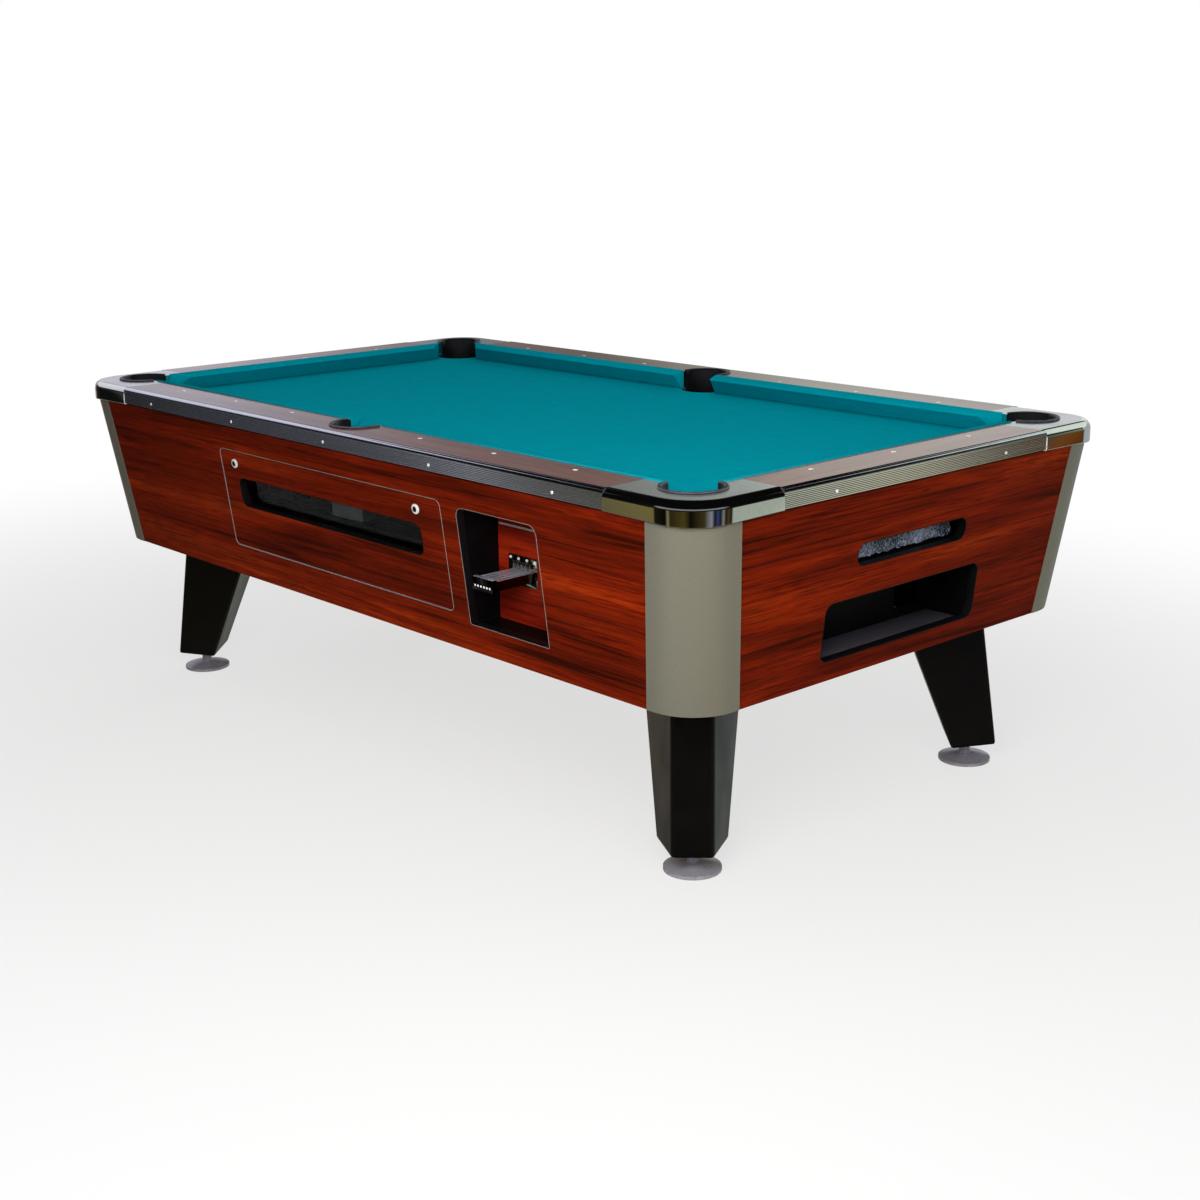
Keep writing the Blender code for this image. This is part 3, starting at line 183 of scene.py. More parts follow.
cherryTones = ["#2f0901", "#611503", "#7e1f03", "#a23508"]
railTones = ["#4a2a26", "#6e4640", "#7f5750", "#8d6760"]
# the end rails' laminate is the long rails' one in lighter tones: painted light on the end rails
railTonesPaintedLit = ["#593a36", "#80574f", "#926a61", "#a07a71"]
finishes = {
    "cabinet": grainedWood("mahoganyCabinetLaminate", "xy", cherryTones, 0.38, 0.03),
    "railLong": grainedWood("mahoganyRailLaminateLong", "x", railTones, 0.13, 0.6),
    "railEnd": grainedWood("mahoganyRailLaminateEnd", "y", railTonesPaintedLit, 0.13, 0.6),
    # the coin recess's back panel: mahogany laminate in lighter tones than the cabinet's, painted light on the recessed
    # panel
    "coinBoard": grainedWood("mahoganyCoinBoard", "xy", ["#480d06", "#801c0b", "#9c260f", "#b43515"], 0.4, 0.12),
    "pine": grainedWood("pineBearers", "xy", ["#8d6a42", "#a98355", "#b9946a", "#c9a67c"], 0.6, 0.3),
    "cloth": billiardCloth("woolBilliardCloth"),
    "cover": brushedAluminium("brushedAluminiumCover", ["#9c998a", "#a4a193"], (0.38, 0.44), (1.2, 1.2, 600),
                              metal=0.7, depth=0.03),
    "trimLong": brushedAluminium("extrudedAluminiumTrimLong", ["#adb0bb", "#b7bac5"], (0.11, 0.14), (400, 5, 5),
                                 metal=0.97, depth=0.0),
    # the end trims' paler, greener tone is a painted reflection on the same aluminium as the long trims
    "trimEnd": brushedAluminium("extrudedAluminiumTrimEnd", ["#d2d2c6", "#deded2"], (0.11, 0.14), (5, 400, 5),
                                metal=0.95, depth=0.0),
    "polished": speckledFinish("polishedChromePlate", ["#d4d5d2", "#dfe0dc"], (0.03, 0.06), 9, Metallic=1.0),
    "satin": speckledFinish("satinChromePlate", ["#bfc1c0", "#cccecf"], (0.12, 0.18), 4, Metallic=0.85),
    # dark grey for the trim's grooves and rib flanks: painted shade
    "trimGroovePaintedShade": speckledFinish("aluminiumGroovePaintedShade", ["#4a4c50", "#5c5e62"], (0.4, 0.5), 6, Metallic=0.5),
    # lighter aluminium for the trim's upward nose faces: a painted highlight
    "trimNosePaintedHighlight": speckledFinish("aluminiumNosePaintedHighlight", ["#c6c7d2", "#d9dae4"], (0.08, 0.13), 7, Metallic=1.0),
    # darkened chrome; on the coin slide's sides it is a painted dark reflection
    "darkChrome": speckledFinish("chromeDarkened", ["#2c2b2b", "#454340"], (0.06, 0.12), 5, Metallic=1.0),
    "rubber": speckledFinish("mouldedBlackRubber", ["#0b0b0c", "#141416"], (0.26, 0.36), 1.6, 0.0002),
    # lighter grey rubber for the sloped faces of the pocket lips: a painted sheen
    "lipPaintedSheen": speckledFinish("rubberLipPaintedSheen", ["#3a3940", "#55545d"], (0.3, 0.4), 3),
    "leg": speckledFinish("blackSatinLaminate", ["#060505", "#0b0908"], (0.28, 0.38), 5, Specular_IOR_Level=0.25),
    "steel": speckledFinish("brightSteel", ["#b4b2b5", "#c8c6c8"], (0.22, 0.34), 6, Metallic=0.8),
    "screw": speckledFinish("nickelledScrew", ["#eeeef0", "#fafafa"], (0.18, 0.28), 3, Metallic=0.25),
    "foot": speckledFinish("turnedSteelFoot", ["#9a97a2", "#b4b1ba"], (0.20, 0.32), 5, Metallic=0.45),
    "board": speckledFinish("blackPaintedBoard", ["#050506", "#0a0a0b"], (0.45, 0.6), 3, 0.0001,
                            Specular_IOR_Level=0.1),
    # near-black: partly the box's own black, partly painted shade inside the box
    "boxFloor": speckledFinish("blackVinylBoxAndPaintedShade", ["#040405", "#08080a"], (0.5, 0.6), 4, 0.0001, Specular_IOR_Level=0.2),
    "runway": speckledFinish("greyPlasticRunway", ["#1a1b1c", "#26272a"], (0.35, 0.5), 5, Specular_IOR_Level=0.2),
    "rack": speckledFinish("navyMouldedRack", ["#1c222e", "#2a3140"], (0.3, 0.4), 5),
    # clear film whose pale speckles are painted glints on the crinkles
    "film": speckledFinish("crinkledFilmPaintedGlints", ["#121826", "#8f99ad"], (0.05, 0.12), 5, 0.004, (0.42, 0.64)),
    "slate": speckledFinish("honedSlate", ["#3f4245", "#54575a"], (0.6, 0.75), 8),
    "mat": speckledFinish("greyVinylMat", ["#37343b", "#454249"], (0.42, 0.55), 4, 0.0001),
    "tMould": speckledFinish("greyVinylEdge", ["#877e76", "#9c938b"], (0.35, 0.5), 5),
    "doorEdge": speckledFinish("smokeVinylEdge", ["#7c7774", "#938d89"], (0.35, 0.5), 5),
    "blackEdge": speckledFinish("blackVinylEdge", ["#080809", "#101012"], (0.3, 0.45), 5, Specular_IOR_Level=0.2),
    "sight": speckledFinish("pearlSightInlay", ["#e6e2d8", "#f2efe8"], (0.2, 0.32), 2),
    # black for the key slots: painted shade standing for the keyholes
    "keySlot": speckledFinish("keySlotPaintedShade", ["#050505", "#0d0d0d"], (0.4, 0.5), 2),
}


def clearAcrylic(name):
    # cast acrylic sheet: clear, with the faintest handling haze; its IOR is set low because the pane shows little gloss
    finish, tree, shader, place = newFinish(name, Transmission_Weight=1.0, IOR=1.1)
    shader.inputs["Base Color"].default_value = linear("#e6ebea")
    haze = addNode(tree, "ShaderNodeTexNoise", {"Vector": place, "Scale": rate(35), "Detail": 3.0}).outputs[0]
    dull = addNode(tree, "ShaderNodeMapRange", {0: haze, 1: 0.3, 2: 0.7, 3: 0.01, 4: 0.06})
    tree.links.new(dull.outputs[0], shader.inputs["Roughness"])
    return finish


finishes["window"] = clearAcrylic("clearAcrylicWindow")
print("finishes made:", len(finishes))


# CAD nodes that stay as they are get their finish

nodeFinish = {
    "cabinet": ["cabinet_front_panel", "cabinet_rear_panel", "cabinet_head_panel", "cabinet_foot_panel",
                "service_door"],
    "coinBoard": ["coin_back_panel"],
    "pine": ["cabinet_floor", "slate_frame"],
    "slate": ["slate_bed"],
    "leg": ["leg_" + corner for corner in corners],
    "board": ["coin_housing", "ball_tray", "rack_shelf"],
    "boxFloor": ["return_box"],
    "runway": ["ball_runway"],
    "rack": ["triangle_rack"],
    "steel": ["door_hinge_rod", "release_lever", "cash_box"],
    "window": ["door_window_pane"],
}
for key, names in nodeFinish.items():
    for name in names:
        nodes[name].data.materials.clear()
        nodes[name].data.materials.append(finishes[key])


# ways of working that several pieces share

cleaning = {"nodeMerge": 0.00002, "flatAngle": 0.4, "pieceMerge": 0.000005}  # metres and degrees


def makeActive(piece):
    if bpy.context.object and bpy.context.object.mode != "OBJECT":
        bpy.ops.object.mode_set(mode="OBJECT")
    bpy.ops.object.select_all(action="DESELECT")
    piece.select_set(True)
    bpy.context.view_layer.objects.active = piece


def startEdit(piece, kind):
    makeActive(piece)
    bpy.ops.object.mode_set(mode="EDIT")
    bpy.ops.mesh.select_mode(type=kind)
    bpy.ops.mesh.select_all(action="DESELECT")
    return bmesh.from_edit_mesh(piece.data)


def endEdit():
    bpy.ops.object.mode_set(mode="OBJECT")


def pick(piece, kind, wanted):
    mesh = startEdit(piece, kind)
    found = {"VERT": mesh.verts, "EDGE": mesh.edges, "FACE": mesh.faces}[kind]
    for element in found:
        element.select_set(wanted(element))
    mesh.select_flush_mode()
    bmesh.update_edit_mesh(piece.data)


def moveVerts(piece, move):
    mesh = startEdit(piece, "VERT")
    for vert in mesh.verts:
        move(vert)
    bmesh.update_edit_mesh(piece.data)
    endEdit()


def copyOfNode(nodeName, pieceName):
    makeActive(nodes[nodeName])
    bpy.ops.object.duplicate()
    piece = bpy.context.object
    piece.name = pieceName
    for key in list(piece.keys()):
        del piece[key]
    piece.parent = None
    piece.matrix_world = Matrix()
    bpy.ops.mesh.customdata_custom_splitnormals_clear()
    bpy.ops.object.mode_set(mode="EDIT")
    bpy.ops.mesh.select_all(action="SELECT")
    bpy.ops.mesh.remove_doubles(threshold=cleaning["nodeMerge"])
    bpy.ops.mesh.dissolve_limited(angle_limit=math.radians(cleaning["flatAngle"]))
    endEdit()
    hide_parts(nodeName)
    return piece


def addShape(name, addPrimitive, scale=(1, 1, 1), **settings):
    bpy.ops.object.select_all(action="DESELECT")
    addPrimitive(**settings)
    piece = bpy.context.object
    piece.name = name
    piece.scale = scale
    bpy.ops.object.transform_apply(location=True, rotation=True, scale=True)
    return piece


def addBlock(name, low, high):
    low, high = Vector(low), Vector(high)
    return addShape(name, bpy.ops.mesh.primitive_cube_add, high - low, size=1, location=(low + high) / 2)


def sharp(edge, least=40):
    return edge.calc_face_angle(0) > math.radians(least)


def topEdge(edge):
    return sharp(edge) and all(v.co.z > 0 for v in edge.verts)


def bevelEdges(piece, width, segments, wanted):
    pick(piece, "EDGE", lambda edge: len(edge.link_faces) == 2 and wanted(edge))
    bpy.ops.mesh.bevel(offset=width, segments=segments, affect="EDGES", clamp_overlap=True)
    endEdit()


def applyModifier(piece, kind, **settings):
    makeActive(piece)
    modifier = piece.modifiers.new(kind.title(), kind)
    for name, value in settings.items():
        setattr(modifier, name, value)
    bpy.ops.object.modifier_apply(modifier=modifier.name)


def dress(piece, body, slotName, *used, smooth):
    makeActive(piece)
    bpy.ops.object.transform_apply(location=True, rotation=True, scale=True)
    pick(piece, "VERT", lambda vert: True)
    bpy.ops.mesh.remove_doubles(threshold=cleaning["pieceMerge"])
    bpy.ops.mesh.dissolve_degenerate(threshold=cleaning["pieceMerge"])
    endEdit()
    piece.data.materials.clear()
    for finish in used:
        piece.data.materials.append(finishes[finish])
    bpy.ops.object.shade_smooth_by_angle(angle=math.radians(smooth))
    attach(piece, body)


def setCopies(model, copies, body, slotName, finish, smooth):
    for name, place, turn in copies:
        makeActive(model)
        bpy.ops.object.duplicate()
        piece = bpy.context.object
        piece.name = name
        piece.location = place
        piece.rotation_euler = Euler(turn)
        dress(piece, body, slotName, finish, smooth=smooth)
    bpy.data.objects.remove(model)


def onPanel(side, along, height, proud=0.0):
    half = table["halfWidth"] if side in ("front", "rear") else table["halfLength"]
    out = half - table["insetLow"] + table["slope"] * (height - table["legHeight"])
    point = Vector((along, -out - proud * math.cos(lean), height - proud * math.sin(lean)))
    return Matrix.Rotation(sideTurn[side], 4, "Z") @ point


def setOnPanel(piece, side, along, height, proud):
    piece.rotation_euler = Euler((math.pi / 2 + lean, 0, sideTurn[side]))
    piece.location = onPanel(side, along, height, proud)


# corner castings: the skirt hangs lower round the corner, the edges are rounded and the arms reach further along the
# trim than in the CAD; the top is satin, the rest polished, and the arms' ends take the screws' white as a painted
# highlight

casting = {
    "low": 0.7543, "endDrop": 0.0008, "sideDrop": 0.0025, "cornerDrop": 0.0060, "edgeRound": 0.0026, "edgeSegments": 3,
    "cadRound": 0.012, "topRound": 0.019, "legOuter": 0.2235, "legInner": 0.240, "armGrow": 0.0115, "endRound": 0.005,
    "endSegments": 4, "endFrom": 0.003, "endGap": 0.0002, "endBefore": 0.001, "endBeyond": 0.004, "endFacing": 0.75,
    "topFacing": 0.99, "sharpEdge": 50, "near": 0.0005,
}


def fromCornerCentre(point):
    # how far a point lies outward, along x and y, from the centre of the nearest corner's round
    return (abs(point.x) - table["halfLength"] + table["cornerRadius"],
            abs(point.y) - table["halfWidth"] + table["cornerRadius"])


def outsideBy(point):
    # how far a point lies outside the rounded outline of the table top
    x, y = fromCornerCentre(point)
    return math.hypot(max(x, 0), max(y, 0)) + min(max(x, y), 0) - table["cornerRadius"]


def outward(point):
    x, y = fromCornerCentre(point)
    way = Vector((x, y, 0)).normalized() if min(x, y) > 0 else Vector((x > y, x <= y, 0))
    return Vector((math.copysign(way.x, point.x), math.copysign(way.y, point.y), 0))


def skirtDrop(point):
    x, y = fromCornerCentre(point)
    if min(x, y) < -casting["near"]:
        return casting["endDrop"]
    more = casting["cornerDrop"] - casting["sideDrop"]
    return casting["sideDrop"] + more * math.sin(2 * math.atan2(y, x))


def growTopRound(vert):
    radius, grow = casting["cadRound"], casting["topRound"] / casting["cadRound"] - 1
    inward, down = -outsideBy(vert.co), table["railTop"] - vert.co.z
    fromArc = math.hypot(radius - inward, radius - down) - radius
    if max(inward, down) < radius + casting["near"] and abs(fromArc) < casting["near"]:
        vert.co -= outward(vert.co) * inward * grow
        vert.co.z -= down * grow


def armReach(point, axis, grow):
    # how far a point lies beyond the slanting end of a casting's arm that runs along an axis, and its depth in the rail
    half, across = table["halfLength"], table["halfWidth"]
    if axis == 1:
        half, across = across, half
    depth = across - abs(point[1 - axis])
    leg = casting["legOuter"] + grow
    leg += (casting["legInner"] - leg) * depth / table["railWidth"]
    return half - abs(point[axis]) - leg, depth


def armEnd(point, grow=0.0, deepest=table["railWidth"]):
    # the axis of the arm whose end a point lies on, if any
    for axis in (0, 1):
        beyond, depth = armReach(point, axis, grow)
        if depth < deepest + casting["near"] and -casting["endBefore"] < beyond < casting["endBeyond"]:
            return axis
    return None


def setArmEnd(vert, axis, gap=0.0):
    beyond = armReach(vert.co, axis, casting["armGrow"])[0]
    vert.co[axis] += math.copysign(1, vert.co[axis]) * (beyond - gap)


def shapeCasting(vert):
    axis = armEnd(vert.co)
    if vert.co.z < casting["low"] + casting["near"] and outsideBy(vert.co) > -casting["near"]:
        vert.co.z -= skirtDrop(vert.co)
    else:
        growTopRound(vert)
    if axis is not None:
        setArmEnd(vert, axis)


def isSkirtEdge(edge):
    return sharp(edge, casting["sharpEdge"]) and all(
        outsideBy(v.co) > -casting["near"] and v.co.z < casting["low"] + casting["near"] for v in edge.verts)


def isEndEdge(edge):
    return (sharp(edge, casting["sharpEdge"])
            and any(v.co.z > casting["low"] + casting["endFrom"] for v in edge.verts)
            and all(armEnd(v.co, casting["armGrow"], casting["topRound"]) is not None for v in edge.verts))


for corner in corners:
    piece = copyOfNode("corner_casting_" + corner, "cornerCasting_" + corner)
    moveVerts(piece, shapeCasting)
    bevelEdges(piece, casting["edgeRound"], casting["edgeSegments"], isSkirtEdge)
    bevelEdges(piece, casting["endRound"], casting["endSegments"], isEndEdge)
    dress(piece, "table", "corner_casting", "polished", "satin", "screw", smooth=35)
    for face in piece.data.polygons:
        axis = armEnd(face.center, casting["armGrow"])
        facing = 0 if axis is None else -face.normal[axis] * math.copysign(1, face.center[axis])
        # faces that face along the arm at its end take the white screw finish: a painted highlight
        if facing > casting["endFacing"]:
            face.material_index = 2
        else:
            face.material_index = 1 if face.normal.z > casting["topFacing"] else 0
    applyModifier(piece, "WEIGHTED_NORMAL", keep_sharp=True)
print("corner castings rounded")


# rails and trim: both end at the castings, and the trim's nose is larger than in the CAD

trim = {"low": 0.756, "inset": 0.0015, "cadNose": 0.0065, "nose": 0.010, "back": 0.0085, "near": 0.0001,
        "grooveFrom": 0.0003, "noseFacing": 0.1, "railFacing": 0.5}


def growNose(vert):
    grow = trim["nose"] / trim["cadNose"] - 1
    depth, down = -outsideBy(vert.co) - trim["inset"], table["railTop"] - vert.co.z
    if down < trim["cadNose"] + trim["near"]:
        vert.co -= outward(vert.co) * depth * grow
        vert.co.z -= down * grow
    else:  # the ribs below close up
        ribs = table["railTop"] - trim["low"] - trim["cadNose"]
        vert.co.z -= (vert.co.z - trim["low"]) * (trim["nose"] - trim["cadNose"]) / ribs


def setBack(vert):
    if -outsideBy(vert.co) < trim["back"]:
        vert.co -= outward(vert.co) * (trim["nose"] - trim["cadNose"])


def shortenEnds(piece, reshape):
    def move(vert):
        axis = armEnd(vert.co)
        reshape(vert)
        if axis is not None:
            setArmEnd(vert, axis, casting["endGap"])

    moveVerts(piece, move)


for side in sideTurn:
    run = "Long" if side in ("front", "rear") else "End"
    piece = copyOfNode(side + "_rail", side + "Rail")
    shortenEnds(piece, setBack)
    dress(piece, "table", "rail_laminate", "rail" + run, "blackEdge", smooth=30)
    for face in piece.data.polygons:
        face.material_index = 0 if abs(face.normal.z) > trim["railFacing"] else 1
    piece = copyOfNode(side + "_trim", side + "Trim")
    shortenEnds(piece, growNose)
    dress(piece, "table", "rail_trim", "trim" + run, "trimNosePaintedHighlight", "trimGroovePaintedShade", smooth=25)
    # the nose's upward faces take the lighter aluminium: a painted highlight
    for face in piece.data.polygons:
        if face.center.z > table["railTop"] - trim["nose"]:
            face.material_index = 1 if face.normal.z > trim["noseFacing"] else 0
        else:
            # faces set back from the rib flats take the dark grey: painted shade in the grooves
            face.material_index = 2 if outsideBy(face.center) < -trim["inset"] - trim["grooveFrom"] else 0
print("rails and trim fitted")


# corner covers, pocket liners and levelling feet: their curves are shaded smooth

lining = {"lipRound": 0.0012, "segments": 3, "sharpEdge": 25, "near": 0.0001, "paintedSheenFrom": 0.002,
          "paintedSheenFacing": (0.25, 0.96)}

for corner in corners:
    piece = copyOfNode("corner_cover_" + corner, "cornerCover_" + corner)
    dress(piece, "table", "corner_cover", "cover", smooth=30)


def isLipEdge(edge):
    return sharp(edge, lining["sharpEdge"]) and all(v.co.z > table["railTop"] + lining["near"] for v in edge.verts)


liners = ["corner_pocket_" + corner for corner in corners] + ["side_pocket_front", "side_pocket_rear"]
least, most = lining["paintedSheenFacing"]
for name in liners:
    piece = copyOfNode(name, "liner_" + name)
    bevelEdges(piece, lining["lipRound"], lining["segments"], isLipEdge)
    dress(piece, "table", "pocket_rubber", "rubber", "lipPaintedSheen", smooth=50)
    for face in piece.data.polygons:
        # sloped faces on top of the lip take the lighter grey rubber: a painted sheen
        onLip = face.center.z > table["railTop"] + lining["paintedSheenFrom"]
        face.material_index = 1 if onLip and least < face.normal.z < most else 0

for corner in corners:
    piece = copyOfNode("leveller_" + corner, "levellingFoot_" + corner)
    dress(piece, "leveller_" + corner, "leveller", "foot", smooth=35)
print("covers, liners and feet smoothed")


# cushions and bed cloth

cushion = {"noseRound": 0.0022, "segments": 3, "crown": 0.0045, "lowest": 0.0004, "sharpEdge": 20, "near": 0.0002}

cushions = ["front_cushion_head", "front_cushion_foot", "rear_cushion_head", "rear_cushion_foot",
            "head_cushion", "foot_cushion"]


def crownCushion(vert):
    if vert.co.z > highest - cushion["near"]:
        vert.co.z += cushion["crown"]
    elif vert.co.z < lowest + cushion["near"]:
        vert.co.z = table["bedTop"] + cushion["lowest"]


for name in cushions:
    piece = copyOfNode(name, "cloth_" + name)
    heights = [v.co.z for v in piece.data.vertices]
    lowest, highest = min(heights), max(heights)
    moveVerts(piece, crownCushion)
    bevelEdges(piece, cushion["noseRound"], cushion["segments"], lambda edge: sharp(edge, cushion["sharpEdge"]))
    dress(piece, "table", "cloth", "cloth", smooth=60)

piece = copyOfNode("bed_cloth", "bedCloth")
dress(piece, "table", "cloth", "cloth", smooth=30)


# edge strips round the openings

stripMaking = {"cornerSegments": 8, "edgeRound": 0.0004, "edgeSegments": 2, "sharpEdge": 50, "leastArea": 0.0002,
               "near": 0.0001}
edgeStrips = {
    "doorEdgeStrip": {
        "side": "front", "left": -0.4738, "right": 0.3948, "low": 0.4518, "high": 0.6956, "topRadius": 0.0155,
        "lowRadius": 0.0155, "width": 0.0013, "depth": 0.006, "proud": 0.0004, "openBelow": True,
        "finish": "doorEdge", "body": "table"},
    "coinRecessStrip": {
        "side": "front", "left": 0.4462, "right": 0.6973, "low": 0.4358, "high": 0.6898, "topRadius": 0.0218,
        "lowRadius": 0.0048, "width": 0.0008, "depth": 0.004, "proud": 0.0004, "openBelow": False,
        "finish": "tMould", "body": "table"},
    "coinRecessLining": {
        "side": "front", "left": 0.4473, "right": 0.6962, "low": 0.4369, "high": 0.6887, "topRadius": 0.0207,
        "lowRadius": 0.0037, "width": 0.0009, "depth": 0.0188, "proud": 0.0002, "openBelow": False,
        "finish": "blackEdge", "body": "table"},
    "windowStrip": {
        "side": "front", "left": -0.4058, "right": 0.3158, "low": 0.5599, "high": 0.6308, "topRadius": 0.0198,
        "lowRadius": 0.0198, "width": 0.0010, "depth": 0.0188, "proud": 0.0004, "openBelow": False,
        "finish": "blackEdge", "body": "service_door"},
    "returnStrip": {
        "side": "foot", "left": -0.2503, "right": 0.2383, "low": 0.415, "high": 0.5378, "topRadius": 0.0218,
        "lowRadius": 0.0218, "width": 0.0014, "depth": 0.0185, "proud": 0.0004, "openBelow": False,
        "finish": "blackEdge", "body": "table"},
    "rackSlotStrip": {
        "side": "foot", "left": -0.1725, "right": 0.1725, "low": 0.5992, "high": 0.6478, "topRadius": 0.0218,
        "lowRadius": 0.0218, "width": 0.0012, "depth": 0.0185, "proud": 0.0004, "openBelow": False,
        "finish": "blackEdge", "body": "table"},
}


def edgeStrip(name, strip):
    rise = (strip["high"] - strip["low"]) / math.cos(lean)
    piece = addShape(name, bpy.ops.mesh.primitive_plane_add, (strip["right"] - strip["left"], rise, 1), size=1)
    for upper, radius in ((True, strip["topRadius"]), (False, strip["lowRadius"])):
        pick(piece, "VERT", lambda v: (v.co.y > 0) == upper and abs(abs(v.co.y) - rise / 2) < stripMaking["near"])
        bpy.ops.mesh.bevel(offset=radius, segments=stripMaking["cornerSegments"], affect="VERTICES")
        endEdit()
    pick(piece, "FACE", lambda face: True)
    bpy.ops.mesh.inset(thickness=strip["width"])
    bpy.ops.mesh.delete(type="FACE")
    endEdit()
    if strip["openBelow"]:
        pick(piece, "FACE", lambda face: (face.calc_center_median().y < strip["width"] - rise / 2
                                          and face.calc_area() > stripMaking["leastArea"]))
        bpy.ops.mesh.delete(type="FACE")
        endEdit()
    applyModifier(piece, "SOLIDIFY", thickness=strip["depth"], offset=-1, use_even_offset=True)
    applyModifier(piece, "BEVEL", width=stripMaking["edgeRound"], segments=stripMaking["edgeSegments"],
                  limit_method="ANGLE", angle_limit=math.radians(stripMaking["sharpEdge"]))
    setOnPanel(piece, strip["side"], (strip["left"] + strip["right"]) / 2, (strip["low"] + strip["high"]) / 2,
               strip["proud"])
    dress(piece, strip["body"], "black_board", strip["finish"], smooth=30)


for name, strip in edgeStrips.items():
    edgeStrip(name, strip)
print("edge strips made:", len(edgeStrips))


# sights inlaid in the rails: one is modelled lying along x and copied

sight = {
    "long": 0.0062, "short": 0.0046, "proud": 0.0003, "sides": 28, "edgeRound": 0.00015, "segments": 2,
    "longRail": [sign * x for x in (0.24765, 0.4953, 0.74295) for sign in (1, -1)], "longRow": 0.5649,
    "endRail": [0, 0.24765, -0.24765], "endRow": 1.0602,
}
sightModel = addShape("sightModel", bpy.ops.mesh.primitive_cylinder_add,
                      (sight["long"], sight["short"], sight["proud"]), vertices=sight["sides"], radius=1, depth=1)
bevelEdges(sightModel, sight["edgeRound"], sight["segments"], topEdge)
sightPlaces = [(x, sign * sight["longRow"], 0) for x in sight["longRail"] for sign in (1, -1)]
sightPlaces += [(sign * sight["endRow"], y, math.pi / 2) for y in sight["endRail"] for sign in (1, -1)]
sights = [(f"railSight_{number:02d}", (x, y, table["railTop"] + sight["proud"] / 2), (0, 0, turn))
          for number, (x, y, turn) in enumerate(sightPlaces, 1)]
setCopies(sightModel, sights, "table", "rail_laminate", "sight", smooth=30)
print("sights set:", len(sights))


# door locks: a smooth head with a plug and a key slot

lock = {
    "left": -0.41, "right": 0.3095, "height": 0.664, "headProud": 0.0044, "headFrom": 0.003, "headRound": 0.0009,
    "headSegments": 3, "plug": 0.0062, "plugSides": 28, "plugDepth": 0.0008, "plugRound": 0.0003, "plugSegments": 2,
    "rim": 0.0012, "sink": 0.0003, "slot": (0.0013, 0.0078, 0.0006), "slotProud": 0.0003, "slotRound": 0.0004,
    "slotSegments": 2, "topFacing": 0.99, "leastSides": 8,
}
panelNormal = Vector((0, -math.cos(lean), -math.sin(lean)))
for hand in ("left", "right"):
    body = "door_lock_" + hand
    centre = onPanel("front", lock[hand], lock["height"])
    piece = copyOfNode(body, "lockHead_" + hand)
    bevelEdges(piece, lock["headRound"], lock["headSegments"], lambda edge: sharp(edge) and all(
        (v.co - centre).dot(panelNormal) > lock["headFrom"] for v in edge.verts))
    dress(piece, body, "lock_chrome", "screw", smooth=35)

    plug = addShape("lockPlug_" + hand, bpy.ops.mesh.primitive_cylinder_add, vertices=lock["plugSides"],
                    radius=lock["plug"], depth=lock["plugDepth"])
    bevelEdges(plug, lock["plugRound"], lock["plugSegments"], topEdge)
    pick(plug, "FACE", lambda face: face.normal.z > lock["topFacing"] and len(face.verts) > lock["leastSides"])
    bpy.ops.mesh.inset(thickness=lock["rim"])
    bpy.ops.mesh.extrude_region_move(TRANSFORM_OT_translate={"value": (0, 0, -lock["sink"])})
    endEdit()
    setOnPanel(plug, "front", lock[hand], lock["height"], lock["headProud"])
    dress(plug, body, "lock_chrome", "darkChrome", smooth=30)

    # the key slot is a black block on the plug: painted shade standing for the keyhole
    slit = addShape("keySlot_" + hand, bpy.ops.mesh.primitive_cube_add, lock["slot"], size=1)
    bevelEdges(slit, lock["slotRound"], lock["slotSegments"], lambda edge: (
        sharp(edge) and abs(edge.verts[0].co.z - edge.verts[1].co.z) > lock["slot"][2] / 2))
    setOnPanel(slit, "front", lock[hand], lock["height"], lock["headProud"] + lock["slotProud"])
    dress(slit, body, "lock_chrome", "keySlot", smooth=30)
print("locks detailed")


# coin plate and slide

coin = {
    "plateFront": -0.525, "plateEdge": -0.5205, "plateRound": 0.0008, "slideFront": -0.6317, "slideEdge": -0.53,
    "slideRound": 0.0007, "segments": 2, "topFacing": 0.9,
}
piece = copyOfNode("coin_chassis", "coinPlate")
bevelEdges(piece, coin["plateRound"], coin["segments"], lambda edge: (
    sharp(edge) and all(v.co.y < coin["plateEdge"] for v in edge.verts)))
dress(piece, "table", "lock_chrome", "polished", smooth=35)
piece = copyOfNode("coin_slide", "coinSlide")
bevelEdges(piece, coin["slideRound"], coin["segments"], lambda edge: (
    sharp(edge) and all(v.co.y < coin["slideEdge"] for v in edge.verts)))
dress(piece, "coin_slide", "steel", "darkChrome", "foot", smooth=35)
# the slide's sides take the darkened chrome and its top the lighter turned steel: painted dark reflection on the sides,
# painted lighter reflection on the top
for face in piece.data.polygons:
    face.material_index = 1 if face.normal.z > coin["topFacing"] else 0


# cross-headed screws on the coin plate and along the trim; their rounding and cross are shares of the head's size

screwHead = {"sides": 20, "round": 0.6, "segments": 3, "crossLong": 1.1, "crossWide": 0.26, "crossDeep": 0.06}
plateScrew = {"radius": 0.0032, "depth": 0.0016, "height": 0.5752, "row": (0.4915, 0.5165, 0.5435, 0.5685)}
trimScrew = {"radius": 0.0034, "depth": 0.0013, "height": 0.7690, "face": 0.0015,
             "longSide": (-0.768, -0.384, 0, 0.384, 0.768), "endSide": (-0.267, 0.267)}


